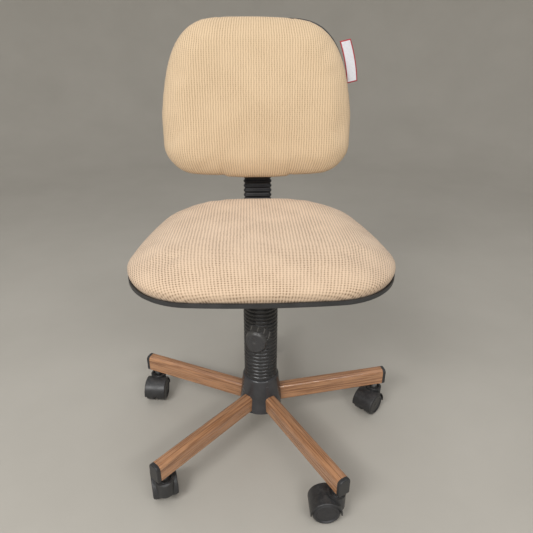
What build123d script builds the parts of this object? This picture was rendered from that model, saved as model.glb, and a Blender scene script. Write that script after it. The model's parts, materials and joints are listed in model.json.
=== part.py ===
from build123d import *
import math
import os

# Desk chair on a five-arm base with twin-wheel casters. Sizes are in millimetres and degrees.
# The frame has +Z up, its origin on the floor on the column's axis, and the sitter facing -Y.

# Clearances
RUN_FIT = 0.05
SLIDE_FIT = 0.3
SOFT_GAP = 0.3

# Shares of a rib's pitch at which it leaves the valley, meets and leaves the crest and is down again
RIB_STEPS = [0.0, 0.3, 0.6, 0.9]

# Five-arm base
ARM_COUNT = 5
BASE_TURN = -7.3
ARM_REACH = 297.0
ARM_WIDTH = 25.4
ARM_HEIGHT = 38.1
ARM_WALL = 1.6
ARM_TOP_CORNER = 9.0
ARM_LOW_CORNER = 3.0
CAP_LIP = 8.0
CAP_PLUG = 5.0
CAP_ROUND = 2.5
STEM_INSET = 14.0
SOCKET_RADIUS = 8.0

# Hub
HUB_DROP = 5.0
HUB_SKIRT = 16.0
HUB_LOW_RADIUS = 47.0
HUB_TOP_RADIUS = 39.5
HUB_RISE = 43.0
HUB_WALL = 3.0
HUB_LID = 5.0
HUB_ROUND = 6.0
SLEEVE_WALL = 6.0

# Casters
WHEEL_RADIUS = 27.0
WHEEL_RIM = 4.0
WHEEL_STEP = 2.0
WHEEL_EDGE = 1.0
WHEEL_DISH = 6.0
WHEEL_HUB_RADIUS = 8.0
AXLE_RADIUS = 3.0
AXLE_BOSS_RADIUS = 9.0
HOOD_GAP = 1.2
HOOD_WALL = 2.6
HOOD_WIDTH = 50.0
HOOD_SKIRT = 3.0
HOOD_ROUND = 2.2
HOOD_WEB = 8.0
WHEEL_GAP = 0.8
CASTER_TRAIL = 20.0
NECK_RADIUS = 18.0
NECK_RISE = 3.0
NECK_CUP_RADIUS = 13.0
NECK_CUP_DEPTH = 4.0
STEM_RADIUS = 5.5
STEM_SEAT = 7.0
STEM_HEIGHT = 27.0
COLLAR_RADIUS = 8.0
ARM_CLEAR = 13.2
CASTER_TURNS = [180.0, 223.8, 180.0, 264.0, 106.0]

# Gas lift
TUBE_RADIUS = 25.0
TUBE_WALL = 1.5
TUBE_FLOOR = 4.0
TUBE_LENGTH = 228.0
BUSH_LENGTH = 88.0
CYLINDER_RADIUS = 14.0
CYLINDER_WALL = 3.5
CYLINDER_LENGTH = 260.0
CYLINDER_LID = 10.0
CYLINDER_RISE = 93.0
PISTON_ROD_RADIUS = 5.0
PISTON_ROD_LENGTH = 213.0
PISTON_LENGTH = 10.0
THRUST_RADIUS = 20.0
THRUST_HEIGHT = 6.0
PIN_RADIUS = 4.0
PIN_LENGTH = 28.0
PIN_PROUD = 8.0

# Ribbed boot round the column
BOOT_LOW_RIBS = 8
BOOT_HIGH_RIBS = 9
BOOT_BAND = 54.0
BOOT_RAMP = 2.7
BOOT_PITCH = 9.0
BOOT_END = 8.0
BOOT_CREST = 36.2
BOOT_VALLEY = 33.0
BOOT_BORE = 29.0
BOOT_RING = 6.0
BADGE_RADIUS = 16.5
BADGE_PROUD = 2.0
BADGE_RISE = 99.0
BADGE_TURN = 19.0

# Seat mechanism
PLATE_WIDTH = 170.0
PLATE_FRONT = -75.0
PLATE_BACK = 150.0
PLATE_THICK = 3.0
CHANNEL_WIDTH = 76.0
CHANNEL_DEPTH = 55.0
CHANNEL_LENGTH = 120.0
BOSS_WALL = 5.0
LEVER_PIVOT = 24.0
LEVER_WIDTH = 8.0
LEVER_BAR = 9.0
LEVER_EYE_RADIUS = 7.0
LEVER_OUT = 150.0
LEVER_DROP = 14.0
LEVER_TIP = 6.0
LEVER_PIN_RADIUS = 3.0
LUG_THICK = 3.0
LUG_GAP = 0.6
SLOT_MARGIN = 6.0
PADDLE_LENGTH = 77.0
PADDLE_WIDTH = 26.0
PADDLE_THICK = 12.0
PADDLE_ROUND = 4.0
PADDLE_GRIP = 32.0

# Seat
SEAT_UNDERSIDE = 457.3
SEAT_FRONT_SPAN = 480.0
SEAT_REAR_SPAN = 338.0
SEAT_DEPTH = 399.0
SEAT_FRONT_BOW = 19.5
SEAT_SIDE_BOW = 18.4
SEAT_REAR_BOW = 12.0
SEAT_FRONT_RADIUS = 123.0
SEAT_REAR_RADIUS = 153.0
SEAT_SETBACK = -16.5
SHELL_INSET = 1.5
SHELL_FLOOR = 3.0
SHELL_WALL = 3.0
SHELL_RIM = 8.5
SHELL_ROUND = 2.5
PAN_THICK = 12.0
PAN_GAP = 4.0
CUSHION_HEIGHT = 55.4
CUSHION_FOOT = [(0.0, 5.3), (0.128, 1.3)]
CUSHION_WAIST = 0.251
CUSHION_SHOULDER = 118.0
CUSHION_CROWN_STEPS = 12
CUSHION_CROWN_END = 80.0
SCREW_RADIUS = 3.0
SCREW_HEAD_RADIUS = 6.0
SCREW_HEAD = 4.0
SCREW_BITE = 9.0
SEAT_SCREW_X = 65.0
SEAT_SCREW_Y = [-55.0, 125.0]

# Back bar and its guide
BAR_WIDTH = 50.0
BAR_THICK = 6.0
BAR_DROP = 14.3
BAR_INNER_END = 45.0
BAR_BEND = 28.0
BAR_OVER = 53.0
UPRIGHT_SETBACK = 229.0
RECLINE = 6.0
GUIDE_WALL = 6.0
GUIDE_FRONT = 70.0
GUIDE_BACK = 145.0
KNOB_RADIUS = 19.0
KNOB_HEIGHT = 18.0
KNOB_LOBES = 7
KNOB_SCALLOP = 5.0
KNOB_OFF = 14.0
KNOB_SCREW_RADIUS = 4.0

# Ribbed sleeve on the upright
SLEEVE_START = 36.0
SLEEVE_RIBS = 18
SLEEVE_WIDTH = 66.0
SLEEVE_DEPTH = 28.0
SLEEVE_CORNER = 7.0
SLEEVE_RIB = 3.0
SLEEVE_SKIN = 2.0
SLEEVE_PLUG = 6.0

# Back carriage and pivot, measured along and across the reclined upright
CARRIAGE_RISE = 262.0
CARRIAGE_HEIGHT = 60.0
CARRIAGE_WIDTH = 66.0
CARRIAGE_FRONT = 14.0
CARRIAGE_REAR = 16.0
CARRIAGE_ROUND = 4.0
PIVOT_FORWARD = 23.0
PIVOT_RADIUS = 4.0
KNUCKLE_RADIUS = 7.0
KNUCKLE_WIDTH = 34.0
EAR_THICK = 10.0
EAR_GAP = 1.0
BRACKET_WIDTH = 110.0
BRACKET_HEIGHT = 70.0
BRACKET_THICK = 3.0
BRACKET_GAP = 1.0
BACK_SCREW_X = 40.0
BACK_SCREW_Z = 24.0

# Back rest
BACK_CENTRE = 268.9
BACK_LOW_SPAN = 386.5
BACK_TOP_SPAN = 290.6
BACK_HEIGHT = 303.5
BACK_LOW_BOW = 10.3
BACK_SIDE_BOW = 26.0
BACK_TOP_BOW = 5.0
BACK_LOW_RADIUS = 72.0
BACK_TOP_RADIUS = 102.0
BACK_CURVE_RADIUS = 1400.0
BACK_STATIONS = [0.0, 0.3, 0.55, 0.74, 0.87, 0.95, 0.992]
BACK_SHELL_THICK = 6.0
BACK_PAN_THICK = 10.0
BACK_PAN_INSET = 9.0
BACK_PAD_THICK = 50.0
BACK_PAD_CROWN = 7.0
BACK_PAD_ROLL = 17.0
BACK_PAD_TUCK = 5.0
BACK_PAD_INSET = 1.0
BACK_PAD_TAPER = 0.5
BACK_PAD_FALL = 6
LABEL_WIDTH = 24.0
LABEL_LENGTH = 84.0
LABEL_THICK = 0.8
LABEL_LEAN = 13.0
LABEL_RISE = 342.0
LABEL_STAND = 0.5

# Heights and radii that follow from the sizes above
HOOD_RADIUS = WHEEL_RADIUS + HOOD_GAP + HOOD_WALL
NECK_TOP = WHEEL_RADIUS + HOOD_RADIUS + NECK_RISE
ARM_BOTTOM = NECK_TOP + ARM_CLEAR
STEM_REACH = ARM_REACH - STEM_INSET
ARM_TOP = ARM_BOTTOM + ARM_HEIGHT
ARM_MIDDLE = ARM_BOTTOM + ARM_HEIGHT / 2
HUB_BOTTOM = ARM_BOTTOM - HUB_DROP
HUB_TOP = ARM_TOP + HUB_RISE
TUBE_BOTTOM = HUB_BOTTOM + HUB_WALL
TUBE_TOP = TUBE_BOTTOM + TUBE_LENGTH
CYLINDER_BOTTOM = TUBE_BOTTOM + CYLINDER_RISE
CYLINDER_TOP = CYLINDER_BOTTOM + CYLINDER_LENGTH
PIN_TOP = CYLINDER_TOP + PIN_PROUD
BAND_LOW = HUB_TOP + BOOT_END + BOOT_LOW_RIBS * BOOT_PITCH
BAND_TOP = BAND_LOW + BOOT_BAND
BOOT_TOP = BAND_TOP + BOOT_HIGH_RIBS * BOOT_PITCH + BOOT_END
RING_TOP = BOOT_TOP + BOOT_RING
PLATE_BOTTOM = SEAT_UNDERSIDE - PLATE_THICK
CHANNEL_BOTTOM = SEAT_UNDERSIDE - CHANNEL_DEPTH
SHELL_TOP = SEAT_UNDERSIDE + SHELL_RIM
PAN_BOTTOM = SEAT_UNDERSIDE + SHELL_FLOOR
PAN_TOP = PAN_BOTTOM + PAN_THICK
CUSHION_BOTTOM = SHELL_TOP + SOFT_GAP
LEVER_MIDDLE = PIN_TOP + SLIDE_FIT + LEVER_BAR / 2
BAR_MIDDLE = PLATE_BOTTOM - BAR_DROP
BAR_BOTTOM = BAR_MIDDLE - BAR_THICK / 2
KNOB_MIDDLE = (GUIDE_FRONT + GUIDE_BACK) / 2
CARRIAGE_LOW = CARRIAGE_RISE - CARRIAGE_HEIGHT / 2
CARRIAGE_TOP = CARRIAGE_RISE + CARRIAGE_HEIGHT / 2
BRACKET_REAR = PIVOT_FORWARD + KNUCKLE_RADIUS + BRACKET_GAP
SHELL_REAR = BRACKET_REAR + BRACKET_THICK
BACK_PAD_REAR = SHELL_REAR + BACK_SHELL_THICK + SOFT_GAP

STAND = (Align.CENTER, Align.CENTER, Align.MIN)
HANG = (Align.CENTER, Align.CENTER, Align.MAX)
UPRIGHT = Pos(0, UPRIGHT_SETBACK, BAR_MIDDLE) * Rot(X=-RECLINE)


def rod(radius, low, high):
    """Upright round bar between two heights on the column's axis."""
    return Pos(0, 0, low) * Cylinder(radius, high - low, align=STAND)


def ring(outer, inner, low, high):
    """Upright tube between two heights on the column's axis."""
    return rod(outer, low, high) - rod(inner, low, high)


def cross_rod(radius, length):
    """Round bar along X, centred on the origin."""
    return Rot(Y=90) * Cylinder(radius, length)


def deep_rod(radius, front, rear):
    """Round bar along Y between two depths."""
    return Pos(0, rear, 0) * Rot(X=90) * Cylinder(radius, rear - front, align=STAND)


def block(x, y, z):
    """Box given by its span along each axis, as pairs of low and high."""
    size = [high - low for low, high in (x, y, z)]
    middle = [(high + low) / 2 for low, high in (x, y, z)]
    return Pos(*middle) * Box(*size)


def arm_turns():
    """Turn of each arm about the column, from +X, going round from the front right."""
    step = 360 / ARM_COUNT
    return [BASE_TURN + step / 2 - 90 + step * i for i in range(ARM_COUNT)]


def arm_bar(grow, start, end):
    """Solid bar along +X on the arm's outer section, grown all round."""
    plane = Plane(origin=(start, 0, ARM_MIDDLE), x_dir=(0, 1, 0), z_dir=(1, 0, 0))
    section = Rectangle(ARM_WIDTH + 2 * grow, ARM_HEIGHT + 2 * grow)
    section = fillet(section.vertices().group_by(Axis.Y)[-1], ARM_TOP_CORNER + grow)
    section = fillet(section.vertices().group_by(Axis.Y)[0], ARM_LOW_CORNER + grow)
    return extrude(plane * section, end - start)


def base_arm():
    """Rectangular tube, saddled onto the hub's sleeve and bored below for a caster socket."""
    tube = arm_bar(0, 0, ARM_REACH) - arm_bar(-ARM_WALL, 0, ARM_REACH)
    socket_hole = Pos(STEM_REACH, 0, 0) * rod(SOCKET_RADIUS, ARM_BOTTOM, ARM_MIDDLE)
    saddle = rod(TUBE_RADIUS + SLEEVE_WALL, ARM_BOTTOM, ARM_TOP)
    return tube - socket_hole - saddle


def arm_end_cap():
    """Moulded cap: a lip over the tube's end and a short plug inside it."""
    lip = arm_bar(0, ARM_REACH, ARM_REACH + CAP_LIP)
    lip = fillet(lip.faces().sort_by(Axis.X)[-1].edges(), CAP_ROUND)
    return lip + arm_bar(-ARM_WALL - RUN_FIT, ARM_REACH - CAP_PLUG, ARM_REACH)


def caster_socket():
    """Sleeve through the arm's lower wall that the caster's stem turns in."""
    sleeve = ring(SOCKET_RADIUS, STEM_RADIUS + RUN_FIT, ARM_BOTTOM, ARM_TOP - ARM_TOP_CORNER)
    return Pos(STEM_REACH, 0, 0) * sleeve


def hub_cover():
    """Tapered moulded cover with a lid at the boot and a window for each arm."""
    waist = HUB_BOTTOM + HUB_SKIRT
    lid = HUB_TOP - HUB_LID
    hole = TUBE_RADIUS + SLIDE_FIT
    outline = [(HUB_LOW_RADIUS, HUB_BOTTOM), (HUB_LOW_RADIUS, waist), (HUB_TOP_RADIUS, HUB_TOP),
               (hole, HUB_TOP), (hole, lid), (HUB_TOP_RADIUS - HUB_WALL, lid),
               (HUB_LOW_RADIUS - HUB_WALL, waist), (HUB_LOW_RADIUS - HUB_WALL, HUB_BOTTOM)]
    cover = revolve(make_face(Plane.XZ * Polyline(*outline, close=True)), Axis.Z)
    rim = cover.faces().sort_by(Axis.Z)[-1].edges().sort_by(SortBy.LENGTH)[-1]
    cover = fillet(rim, HUB_ROUND)
    for turn in arm_turns():
        cover -= Rot(Z=turn) * arm_bar(SLIDE_FIT, 0, ARM_REACH)
    return cover


def hub_sleeve():
    """Steel tube that the arms are welded to and the gas lift stands in."""
    return ring(TUBE_RADIUS + SLEEVE_WALL, TUBE_RADIUS, ARM_BOTTOM, HUB_TOP - HUB_LID)


def hood_arch(radius, skirt, width):
    """Arch over the wheels: a half round on straight legs that end a skirt below the axle."""
    plane = Plane(origin=(CASTER_TRAIL, 0, WHEEL_RADIUS), x_dir=(1, 0, 0), z_dir=(0, -1, 0))
    arc = ThreePointArc((-radius, 0), (0, radius), (radius, 0))
    legs = Polyline((radius, 0), (radius, -skirt), (-radius, -skirt), (-radius, 0))
    return extrude(plane * make_face([arc, *legs.edges()]), width / 2, both=True)


def caster_hood():
    """Hood with open sides, a middle web for the axle and a cupped neck for the stem.

    The stem's axis is the local Z axis, and the wheels trail along +X.
    """
    shell = hood_arch(HOOD_RADIUS, HOOD_SKIRT, HOOD_WIDTH)
    sides = shell.faces().sort_by(Axis.Y)
    shell = fillet(sides[0].edges() + sides[-1].edges(), HOOD_ROUND)
    neck = rod(NECK_RADIUS, WHEEL_RADIUS, NECK_TOP)
    cavity = hood_arch(HOOD_RADIUS - HOOD_WALL, 2 * HOOD_RADIUS, HOOD_WIDTH + 2 * NECK_RADIUS)
    web = hood_arch(HOOD_RADIUS - HOOD_WALL / 2, HOOD_SKIRT, HOOD_WEB)
    boss = Pos(CASTER_TRAIL, 0, WHEEL_RADIUS) * deep_rod(AXLE_BOSS_RADIUS, -HOOD_WEB / 2, HOOD_WEB / 2)
    legs = hood_arch(HOOD_RADIUS + NECK_RADIUS, 2 * HOOD_RADIUS, HOOD_WIDTH + 2 * NECK_RADIUS)
    front = block((-NECK_RADIUS * 2, CASTER_TRAIL), (-HOOD_WIDTH, HOOD_WIDTH), (0, WHEEL_RADIUS - HOOD_SKIRT))
    hood = shell + (neck & legs) - front - cavity + web + boss
    hood -= rod(NECK_CUP_RADIUS, NECK_TOP - NECK_CUP_DEPTH, NECK_TOP)
    hood -= rod(STEM_RADIUS, NECK_TOP - NECK_CUP_DEPTH - STEM_SEAT, NECK_TOP)
    axle = deep_rod(AXLE_RADIUS, -HOOD_WIDTH / 2, HOOD_WIDTH / 2)
    return hood - Pos(CASTER_TRAIL, 0, WHEEL_RADIUS) * axle


def caster_pins():
    """Collared steel stem and the wheels' axle, as two separate solids."""
    collar_low = NECK_TOP - NECK_CUP_DEPTH
    stem = rod(STEM_RADIUS, collar_low - STEM_SEAT, ARM_BOTTOM + STEM_HEIGHT)
    stem += rod(COLLAR_RADIUS, collar_low, ARM_BOTTOM - SLIDE_FIT)
    reach = wheel_outer_face() - WHEEL_RIM - SLIDE_FIT
    axle = Pos(CASTER_TRAIL, 0, WHEEL_RADIUS) * deep_rod(AXLE_RADIUS, -reach, reach)
    return [stem, axle]


def wheel_outer_face():
    """Distance of a wheel's outer face from the middle of its caster."""
    return HOOD_WIDTH / 2 - WHEEL_GAP


def caster_wheel(side):
    """Wheel with a rounded tread, a stepped outer disc and a hollow inner face."""
    inner = HOOD_WEB / 2 + WHEEL_GAP
    outer = wheel_outer_face()
    bore = AXLE_RADIUS + RUN_FIT
    rim_radius = WHEEL_RADIUS - WHEEL_RIM
    tread_edge = WHEEL_RADIUS - WHEEL_EDGE
    disc = outer - WHEEL_STEP
    blind = outer - WHEEL_RIM
    profile = [(bore, inner), (WHEEL_HUB_RADIUS, inner), (WHEEL_HUB_RADIUS, inner + WHEEL_DISH),
               (rim_radius, inner + WHEEL_DISH), (rim_radius, inner), (tread_edge, inner),
               (WHEEL_RADIUS, inner + WHEEL_EDGE), (WHEEL_RADIUS, blind), (tread_edge, disc),
               (rim_radius, outer), (rim_radius - WHEEL_STEP, outer), (rim_radius - 2 * WHEEL_STEP, disc),
               (WHEEL_HUB_RADIUS, disc), (0, disc + WHEEL_EDGE), (0, blind), (bore, blind)]
    wheel = revolve(make_face(Polyline(*profile, close=True)), Axis.Y)
    facing = wheel if side > 0 else mirror(wheel, Plane.XZ)
    return Pos(CASTER_TRAIL, 0, WHEEL_RADIUS) * facing


def gas_outer_tube():
    """Tube of the gas lift, with a floor that holds the piston rod."""
    tube = ring(TUBE_RADIUS, TUBE_RADIUS - TUBE_WALL, TUBE_BOTTOM, TUBE_TOP)
    return tube + ring(TUBE_RADIUS - TUBE_WALL, PISTON_ROD_RADIUS, TUBE_BOTTOM, TUBE_BOTTOM + TUBE_FLOOR)


def gas_guide_bush():
    """Bush in the top of the tube that the cylinder slides and turns in."""
    return ring(TUBE_RADIUS - TUBE_WALL, CYLINDER_RADIUS + RUN_FIT, TUBE_TOP - BUSH_LENGTH, TUBE_TOP)


def gas_piston_rod():
    """Rod fixed in the tube's floor, with the piston at its top."""
    top = TUBE_BOTTOM + PISTON_ROD_LENGTH
    return rod(PISTON_ROD_RADIUS, TUBE_BOTTOM, top) + rod(cylinder_bore() - RUN_FIT, top - PISTON_LENGTH, top)


def gas_thrust_bearing():
    """Flat bearing ring on the tube's floor."""
    floor = TUBE_BOTTOM + TUBE_FLOOR
    return ring(THRUST_RADIUS, PISTON_ROD_RADIUS + RUN_FIT, floor, floor + THRUST_HEIGHT)


def cylinder_bore():
    """Radius of the gas cylinder's bore."""
    return CYLINDER_RADIUS - CYLINDER_WALL


def gas_cylinder():
    """Pressure cylinder with a sealed foot round the rod and a lid bored for the release pin."""
    body = rod(CYLINDER_RADIUS, CYLINDER_BOTTOM, CYLINDER_TOP)
    body -= rod(cylinder_bore(), CYLINDER_BOTTOM + CYLINDER_LID, CYLINDER_TOP - CYLINDER_LID)
    body -= rod(PISTON_ROD_RADIUS + RUN_FIT, CYLINDER_BOTTOM, CYLINDER_BOTTOM + CYLINDER_LID)
    return body - rod(PIN_RADIUS + RUN_FIT, CYLINDER_TOP - CYLINDER_LID, CYLINDER_TOP)


def rib_levels(start, pitch, count, valley, crest):
    """Height and size of the four sections of each rib, from the first to the last."""
    steps = list(zip(RIB_STEPS, (valley, crest, crest, valley)))
    return [(start + pitch * (i + share), size) for i in range(count) for share, size in steps]


def column_boot():
    """Ribbed rubber boot with plain ends and a plain middle band that carries a round badge."""
    levels = [(HUB_TOP, BOOT_CREST), (HUB_TOP + BOOT_END / 2, BOOT_CREST)]
    levels += rib_levels(HUB_TOP + BOOT_END, BOOT_PITCH, BOOT_LOW_RIBS, BOOT_VALLEY, BOOT_CREST)
    levels += [(BAND_LOW + BOOT_RAMP, BOOT_CREST), (BAND_TOP - BOOT_RAMP, BOOT_CREST)]
    levels += rib_levels(BAND_TOP, BOOT_PITCH, BOOT_HIGH_RIBS, BOOT_VALLEY, BOOT_CREST)
    levels += [(BOOT_TOP - BOOT_END / 2, BOOT_CREST), (BOOT_TOP, BOOT_CREST)]
    sections = [Plane(origin=(0, 0, z), x_dir=(1, 0, 0)) * Circle(radius) for z, radius in levels]
    ribs = loft(sections, ruled=True)
    badge = Pos(0, 0, HUB_TOP + BADGE_RISE) * deep_rod(BADGE_RADIUS, -BOOT_CREST - BADGE_PROUD, 0)
    return ribs + Rot(Z=-BADGE_TURN) * badge - rod(BOOT_BORE, HUB_TOP, BOOT_TOP)


def boot_top_ring():
    """Slip ring that carries the boot's upper end while the seat swivels."""
    return ring(BOOT_CREST, CYLINDER_RADIUS + RUN_FIT, BOOT_TOP, RING_TOP)


def seat_mechanism():
    """Pressed plate and channel under the seat, with a boss on the gas cylinder and the lever's lugs."""
    half = CHANNEL_WIDTH / 2
    length = (-CHANNEL_LENGTH / 2, CHANNEL_LENGTH / 2)
    plate = block((-PLATE_WIDTH / 2, PLATE_WIDTH / 2), (PLATE_FRONT, PLATE_BACK),
                  (PLATE_BOTTOM, SEAT_UNDERSIDE))
    channel = block((-half, half), length, (CHANNEL_BOTTOM, PLATE_BOTTOM))
    inside = half - PLATE_THICK
    channel -= block((-inside, inside), length, (CHANNEL_BOTTOM + PLATE_THICK, PLATE_BOTTOM))
    body = plate + channel + rod(CYLINDER_RADIUS + BOSS_WALL, RING_TOP + SLIDE_FIT, CYLINDER_TOP)
    for side in (-1, 1):
        near = LEVER_WIDTH / 2 + LUG_GAP
        depth = sorted((side * near, side * (near + LUG_THICK)))
        lug_low = LEVER_MIDDLE - LEVER_EYE_RADIUS
        body += block((LEVER_PIVOT - LEVER_EYE_RADIUS, LEVER_PIVOT + LEVER_EYE_RADIUS), depth,
                      (lug_low, PLATE_BOTTOM))
    slot = block((inside, half), (-LEVER_WIDTH, LEVER_WIDTH),
                 (LEVER_MIDDLE - LEVER_BAR / 2 - SLOT_MARGIN, LEVER_MIDDLE + LEVER_BAR / 2 + SLOT_MARGIN))
    body -= slot
    body -= rod(CYLINDER_RADIUS, RING_TOP, CYLINDER_TOP)
    body -= Pos(LEVER_PIVOT, 0, LEVER_MIDDLE) * deep_rod(LEVER_PIN_RADIUS, -CHANNEL_WIDTH, CHANNEL_WIDTH)
    for x, y in seat_screw_places():
        body -= Pos(x, y, 0) * rod(SCREW_RADIUS + SLIDE_FIT, PLATE_BOTTOM, SEAT_UNDERSIDE)
    return body


def lever_outline():
    """Side view of the lever's bar: over the pin, out through the channel and down to the paddle."""
    wall = CHANNEL_WIDTH / 2
    bend = wall + LEVER_BAR
    low = LEVER_MIDDLE - LEVER_DROP
    return Polyline((-LEVER_TIP, LEVER_MIDDLE), (bend, LEVER_MIDDLE),
                    (bend + 2 * LEVER_DROP, low), (LEVER_OUT, low))


def release_lever():
    """Flat steel lever with an eye on its pin and its inner end over the release pin."""
    face = trace(Plane.XZ * lever_outline(), LEVER_BAR)
    bar = extrude(face, LEVER_WIDTH / 2, both=True)
    eye = Pos(LEVER_PIVOT, 0, LEVER_MIDDLE) * deep_rod(LEVER_EYE_RADIUS, -LEVER_WIDTH / 2, LEVER_WIDTH / 2)
    hole = Pos(LEVER_PIVOT, 0, LEVER_MIDDLE) * deep_rod(LEVER_PIN_RADIUS + RUN_FIT, -LEVER_WIDTH, LEVER_WIDTH)
    return bar + eye - hole


def lever_handle(lever):
    """Rounded paddle moulded over the lever's outer end."""
    start = LEVER_OUT - PADDLE_GRIP
    low = LEVER_MIDDLE - LEVER_DROP
    paddle = block((start, start + PADDLE_LENGTH), (-PADDLE_WIDTH / 2, PADDLE_WIDTH / 2),
                   (low - PADDLE_THICK / 2, low + PADDLE_THICK / 2))
    return fillet(paddle.edges(), PADDLE_ROUND) - lever


def lever_pin():
    """Pivot pin held in the two lugs."""
    reach = LEVER_WIDTH / 2 + LUG_GAP + LUG_THICK
    return Pos(LEVER_PIVOT, 0, LEVER_MIDDLE) * deep_rod(LEVER_PIN_RADIUS, -reach, reach)


def rounded_plan(front_span, rear_span, depth, bows, radii):
    """Trapezium with bowed sides and rounded corners, front at -Y, centred on the origin.

    The bows are of the front, the sides and the rear, and the radii of the front and rear corners.
    """
    front, rear = -depth / 2, depth / 2
    corners = [(-front_span / 2, front), (front_span / 2, front),
               (rear_span / 2, rear), (-rear_span / 2, rear)]
    side_bows = [bows[0], bows[1], bows[2], bows[1]]
    edges = [SagittaArc(corners[i], corners[(i + 1) % 4], -side_bows[i]) for i in range(4)]
    face = make_face(edges)
    face = fillet(face.vertices().group_by(Axis.Y)[0], radii[0])
    return fillet(face.vertices().group_by(Axis.Y)[-1], radii[1])


def seat_plan(inset):
    """The seat's outline, drawn in all round."""
    face = rounded_plan(SEAT_FRONT_SPAN - 2 * inset, SEAT_REAR_SPAN - 2 * inset, SEAT_DEPTH - 2 * inset,
                        (SEAT_FRONT_BOW, SEAT_SIDE_BOW, SEAT_REAR_BOW),
                        (SEAT_FRONT_RADIUS - inset, SEAT_REAR_RADIUS - inset))
    return Pos(0, SEAT_SETBACK, 0) * face


def seat_slab(inset, low, high):
    """Slab of the seat's outline between two heights."""
    return Pos(0, 0, low) * extrude(seat_plan(inset), high - low)


def seat_screw_places():
    """Middle of each screw that holds the mechanism to the seat."""
    return [(side * SEAT_SCREW_X, y) for side in (-1, 1) for y in SEAT_SCREW_Y]


def seat_shell():
    """Moulded tray under the seat, whose rim shows below the cover."""
    shell = seat_slab(SHELL_INSET, SEAT_UNDERSIDE, SHELL_TOP)
    shell = fillet(shell.faces().sort_by(Axis.Z)[0].edges(), SHELL_ROUND)
    shell -= seat_slab(SHELL_INSET + SHELL_WALL, PAN_BOTTOM, SHELL_TOP)
    for x, y in seat_screw_places():
        shell -= Pos(x, y, 0) * rod(SCREW_RADIUS + SLIDE_FIT, SEAT_UNDERSIDE, PAN_BOTTOM)
    return shell


def seat_pan():
    """Plywood board under the foam."""
    pan = seat_slab(SHELL_INSET + SHELL_WALL + PAN_GAP, PAN_BOTTOM, PAN_TOP)
    for x, y in seat_screw_places():
        pan -= Pos(x, y, 0) * rod(SCREW_RADIUS, PAN_BOTTOM, PAN_BOTTOM + SCREW_BITE)
    return pan


def cushion_crown():
    """Share of the cushion's height and inset of its outline, round an ellipse from the waist up."""
    end = math.radians(CUSHION_CROWN_END)
    turns = [end * step / CUSHION_CROWN_STEPS for step in range(CUSHION_CROWN_STEPS + 1)]
    rise = (1 - CUSHION_WAIST) / math.sin(end)
    return [(CUSHION_WAIST + rise * math.sin(turn), CUSHION_SHOULDER * (1 - math.cos(turn)))
            for turn in turns]


def seat_cushion():
    """Crowned foam cushion with drawn-in sides, recessed below for the board."""
    pad = loft([Pos(0, 0, CUSHION_BOTTOM + share * CUSHION_HEIGHT) * seat_plan(inset)
                for share, inset in CUSHION_FOOT + cushion_crown()])
    recess = seat_slab(SHELL_INSET + SHELL_WALL + PAN_GAP - SOFT_GAP, PAN_BOTTOM, PAN_TOP + SOFT_GAP)
    return pad - recess


def seat_screws():
    """Round-headed screws from the plate into the board."""
    top = PAN_BOTTOM + SCREW_BITE
    screw = rod(SCREW_RADIUS, PLATE_BOTTOM, top)
    screw += rod(SCREW_HEAD_RADIUS, PLATE_BOTTOM - SCREW_HEAD, PLATE_BOTTOM)
    return [Pos(x, y, 0) * screw for x, y in seat_screw_places()]


def bar_guide():
    """Block under the plate that the back bar slides through, threaded below for its clamp screw."""
    half = BAR_WIDTH / 2 + GUIDE_WALL
    low = BAR_BOTTOM - SLIDE_FIT - GUIDE_WALL
    body = block((-half, half), (GUIDE_FRONT, GUIDE_BACK), (low, PLATE_BOTTOM))
    gap = BAR_WIDTH / 2 + SLIDE_FIT
    height = BAR_THICK / 2 + SLIDE_FIT
    body -= block((-gap, gap), (GUIDE_FRONT, GUIDE_BACK), (BAR_MIDDLE - height, BAR_MIDDLE + height))
    return body - Pos(0, KNOB_MIDDLE, 0) * rod(KNOB_SCREW_RADIUS + RUN_FIT, low, BAR_MIDDLE)


def clamp_knob():
    """Lobed hand knob below the origin on a screw whose tip is at the origin, as two solids."""
    top = -GUIDE_WALL - KNOB_OFF
    knob = Pos(0, 0, top) * Cylinder(KNOB_RADIUS, KNOB_HEIGHT, align=HANG)
    notch = Pos(KNOB_RADIUS + KNOB_SCALLOP / 2, 0, top) * Cylinder(KNOB_SCALLOP, KNOB_HEIGHT, align=HANG)
    for lobe in range(KNOB_LOBES):
        knob -= Rot(Z=360 / KNOB_LOBES * lobe) * notch
    screw = rod(KNOB_SCREW_RADIUS, top - KNOB_HEIGHT / 2, 0)
    return [knob - screw, screw]


def depth_knob():
    """Clamp knob under the guide that holds the bar's depth."""
    return [Pos(0, KNOB_MIDDLE, BAR_BOTTOM - SLIDE_FIT) * piece for piece in clamp_knob()]


def back_bar():
    """Flat steel bar bent up behind the seat and leaning back."""
    lean = math.radians(RECLINE)
    top = CARRIAGE_TOP + BAR_OVER
    end = (0, UPRIGHT_SETBACK + top * math.sin(lean), BAR_MIDDLE + top * math.cos(lean))
    path = FilletPolyline((0, BAR_INNER_END, BAR_MIDDLE), (0, UPRIGHT_SETBACK, BAR_MIDDLE), end,
                          radius=BAR_BEND)
    plane = Plane(origin=(0, BAR_INNER_END, BAR_MIDDLE), x_dir=(1, 0, 0), z_dir=(0, 1, 0))
    return sweep(plane * Rectangle(BAR_WIDTH, BAR_THICK), path=path)


def bar_hole(low, high):
    """Passage for the upright bar with sliding room, in the upright's frame."""
    half = BAR_WIDTH / 2 + SLIDE_FIT
    depth = BAR_THICK / 2 + SLIDE_FIT
    return block((-half, half), (-depth, depth), (low, high))


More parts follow.
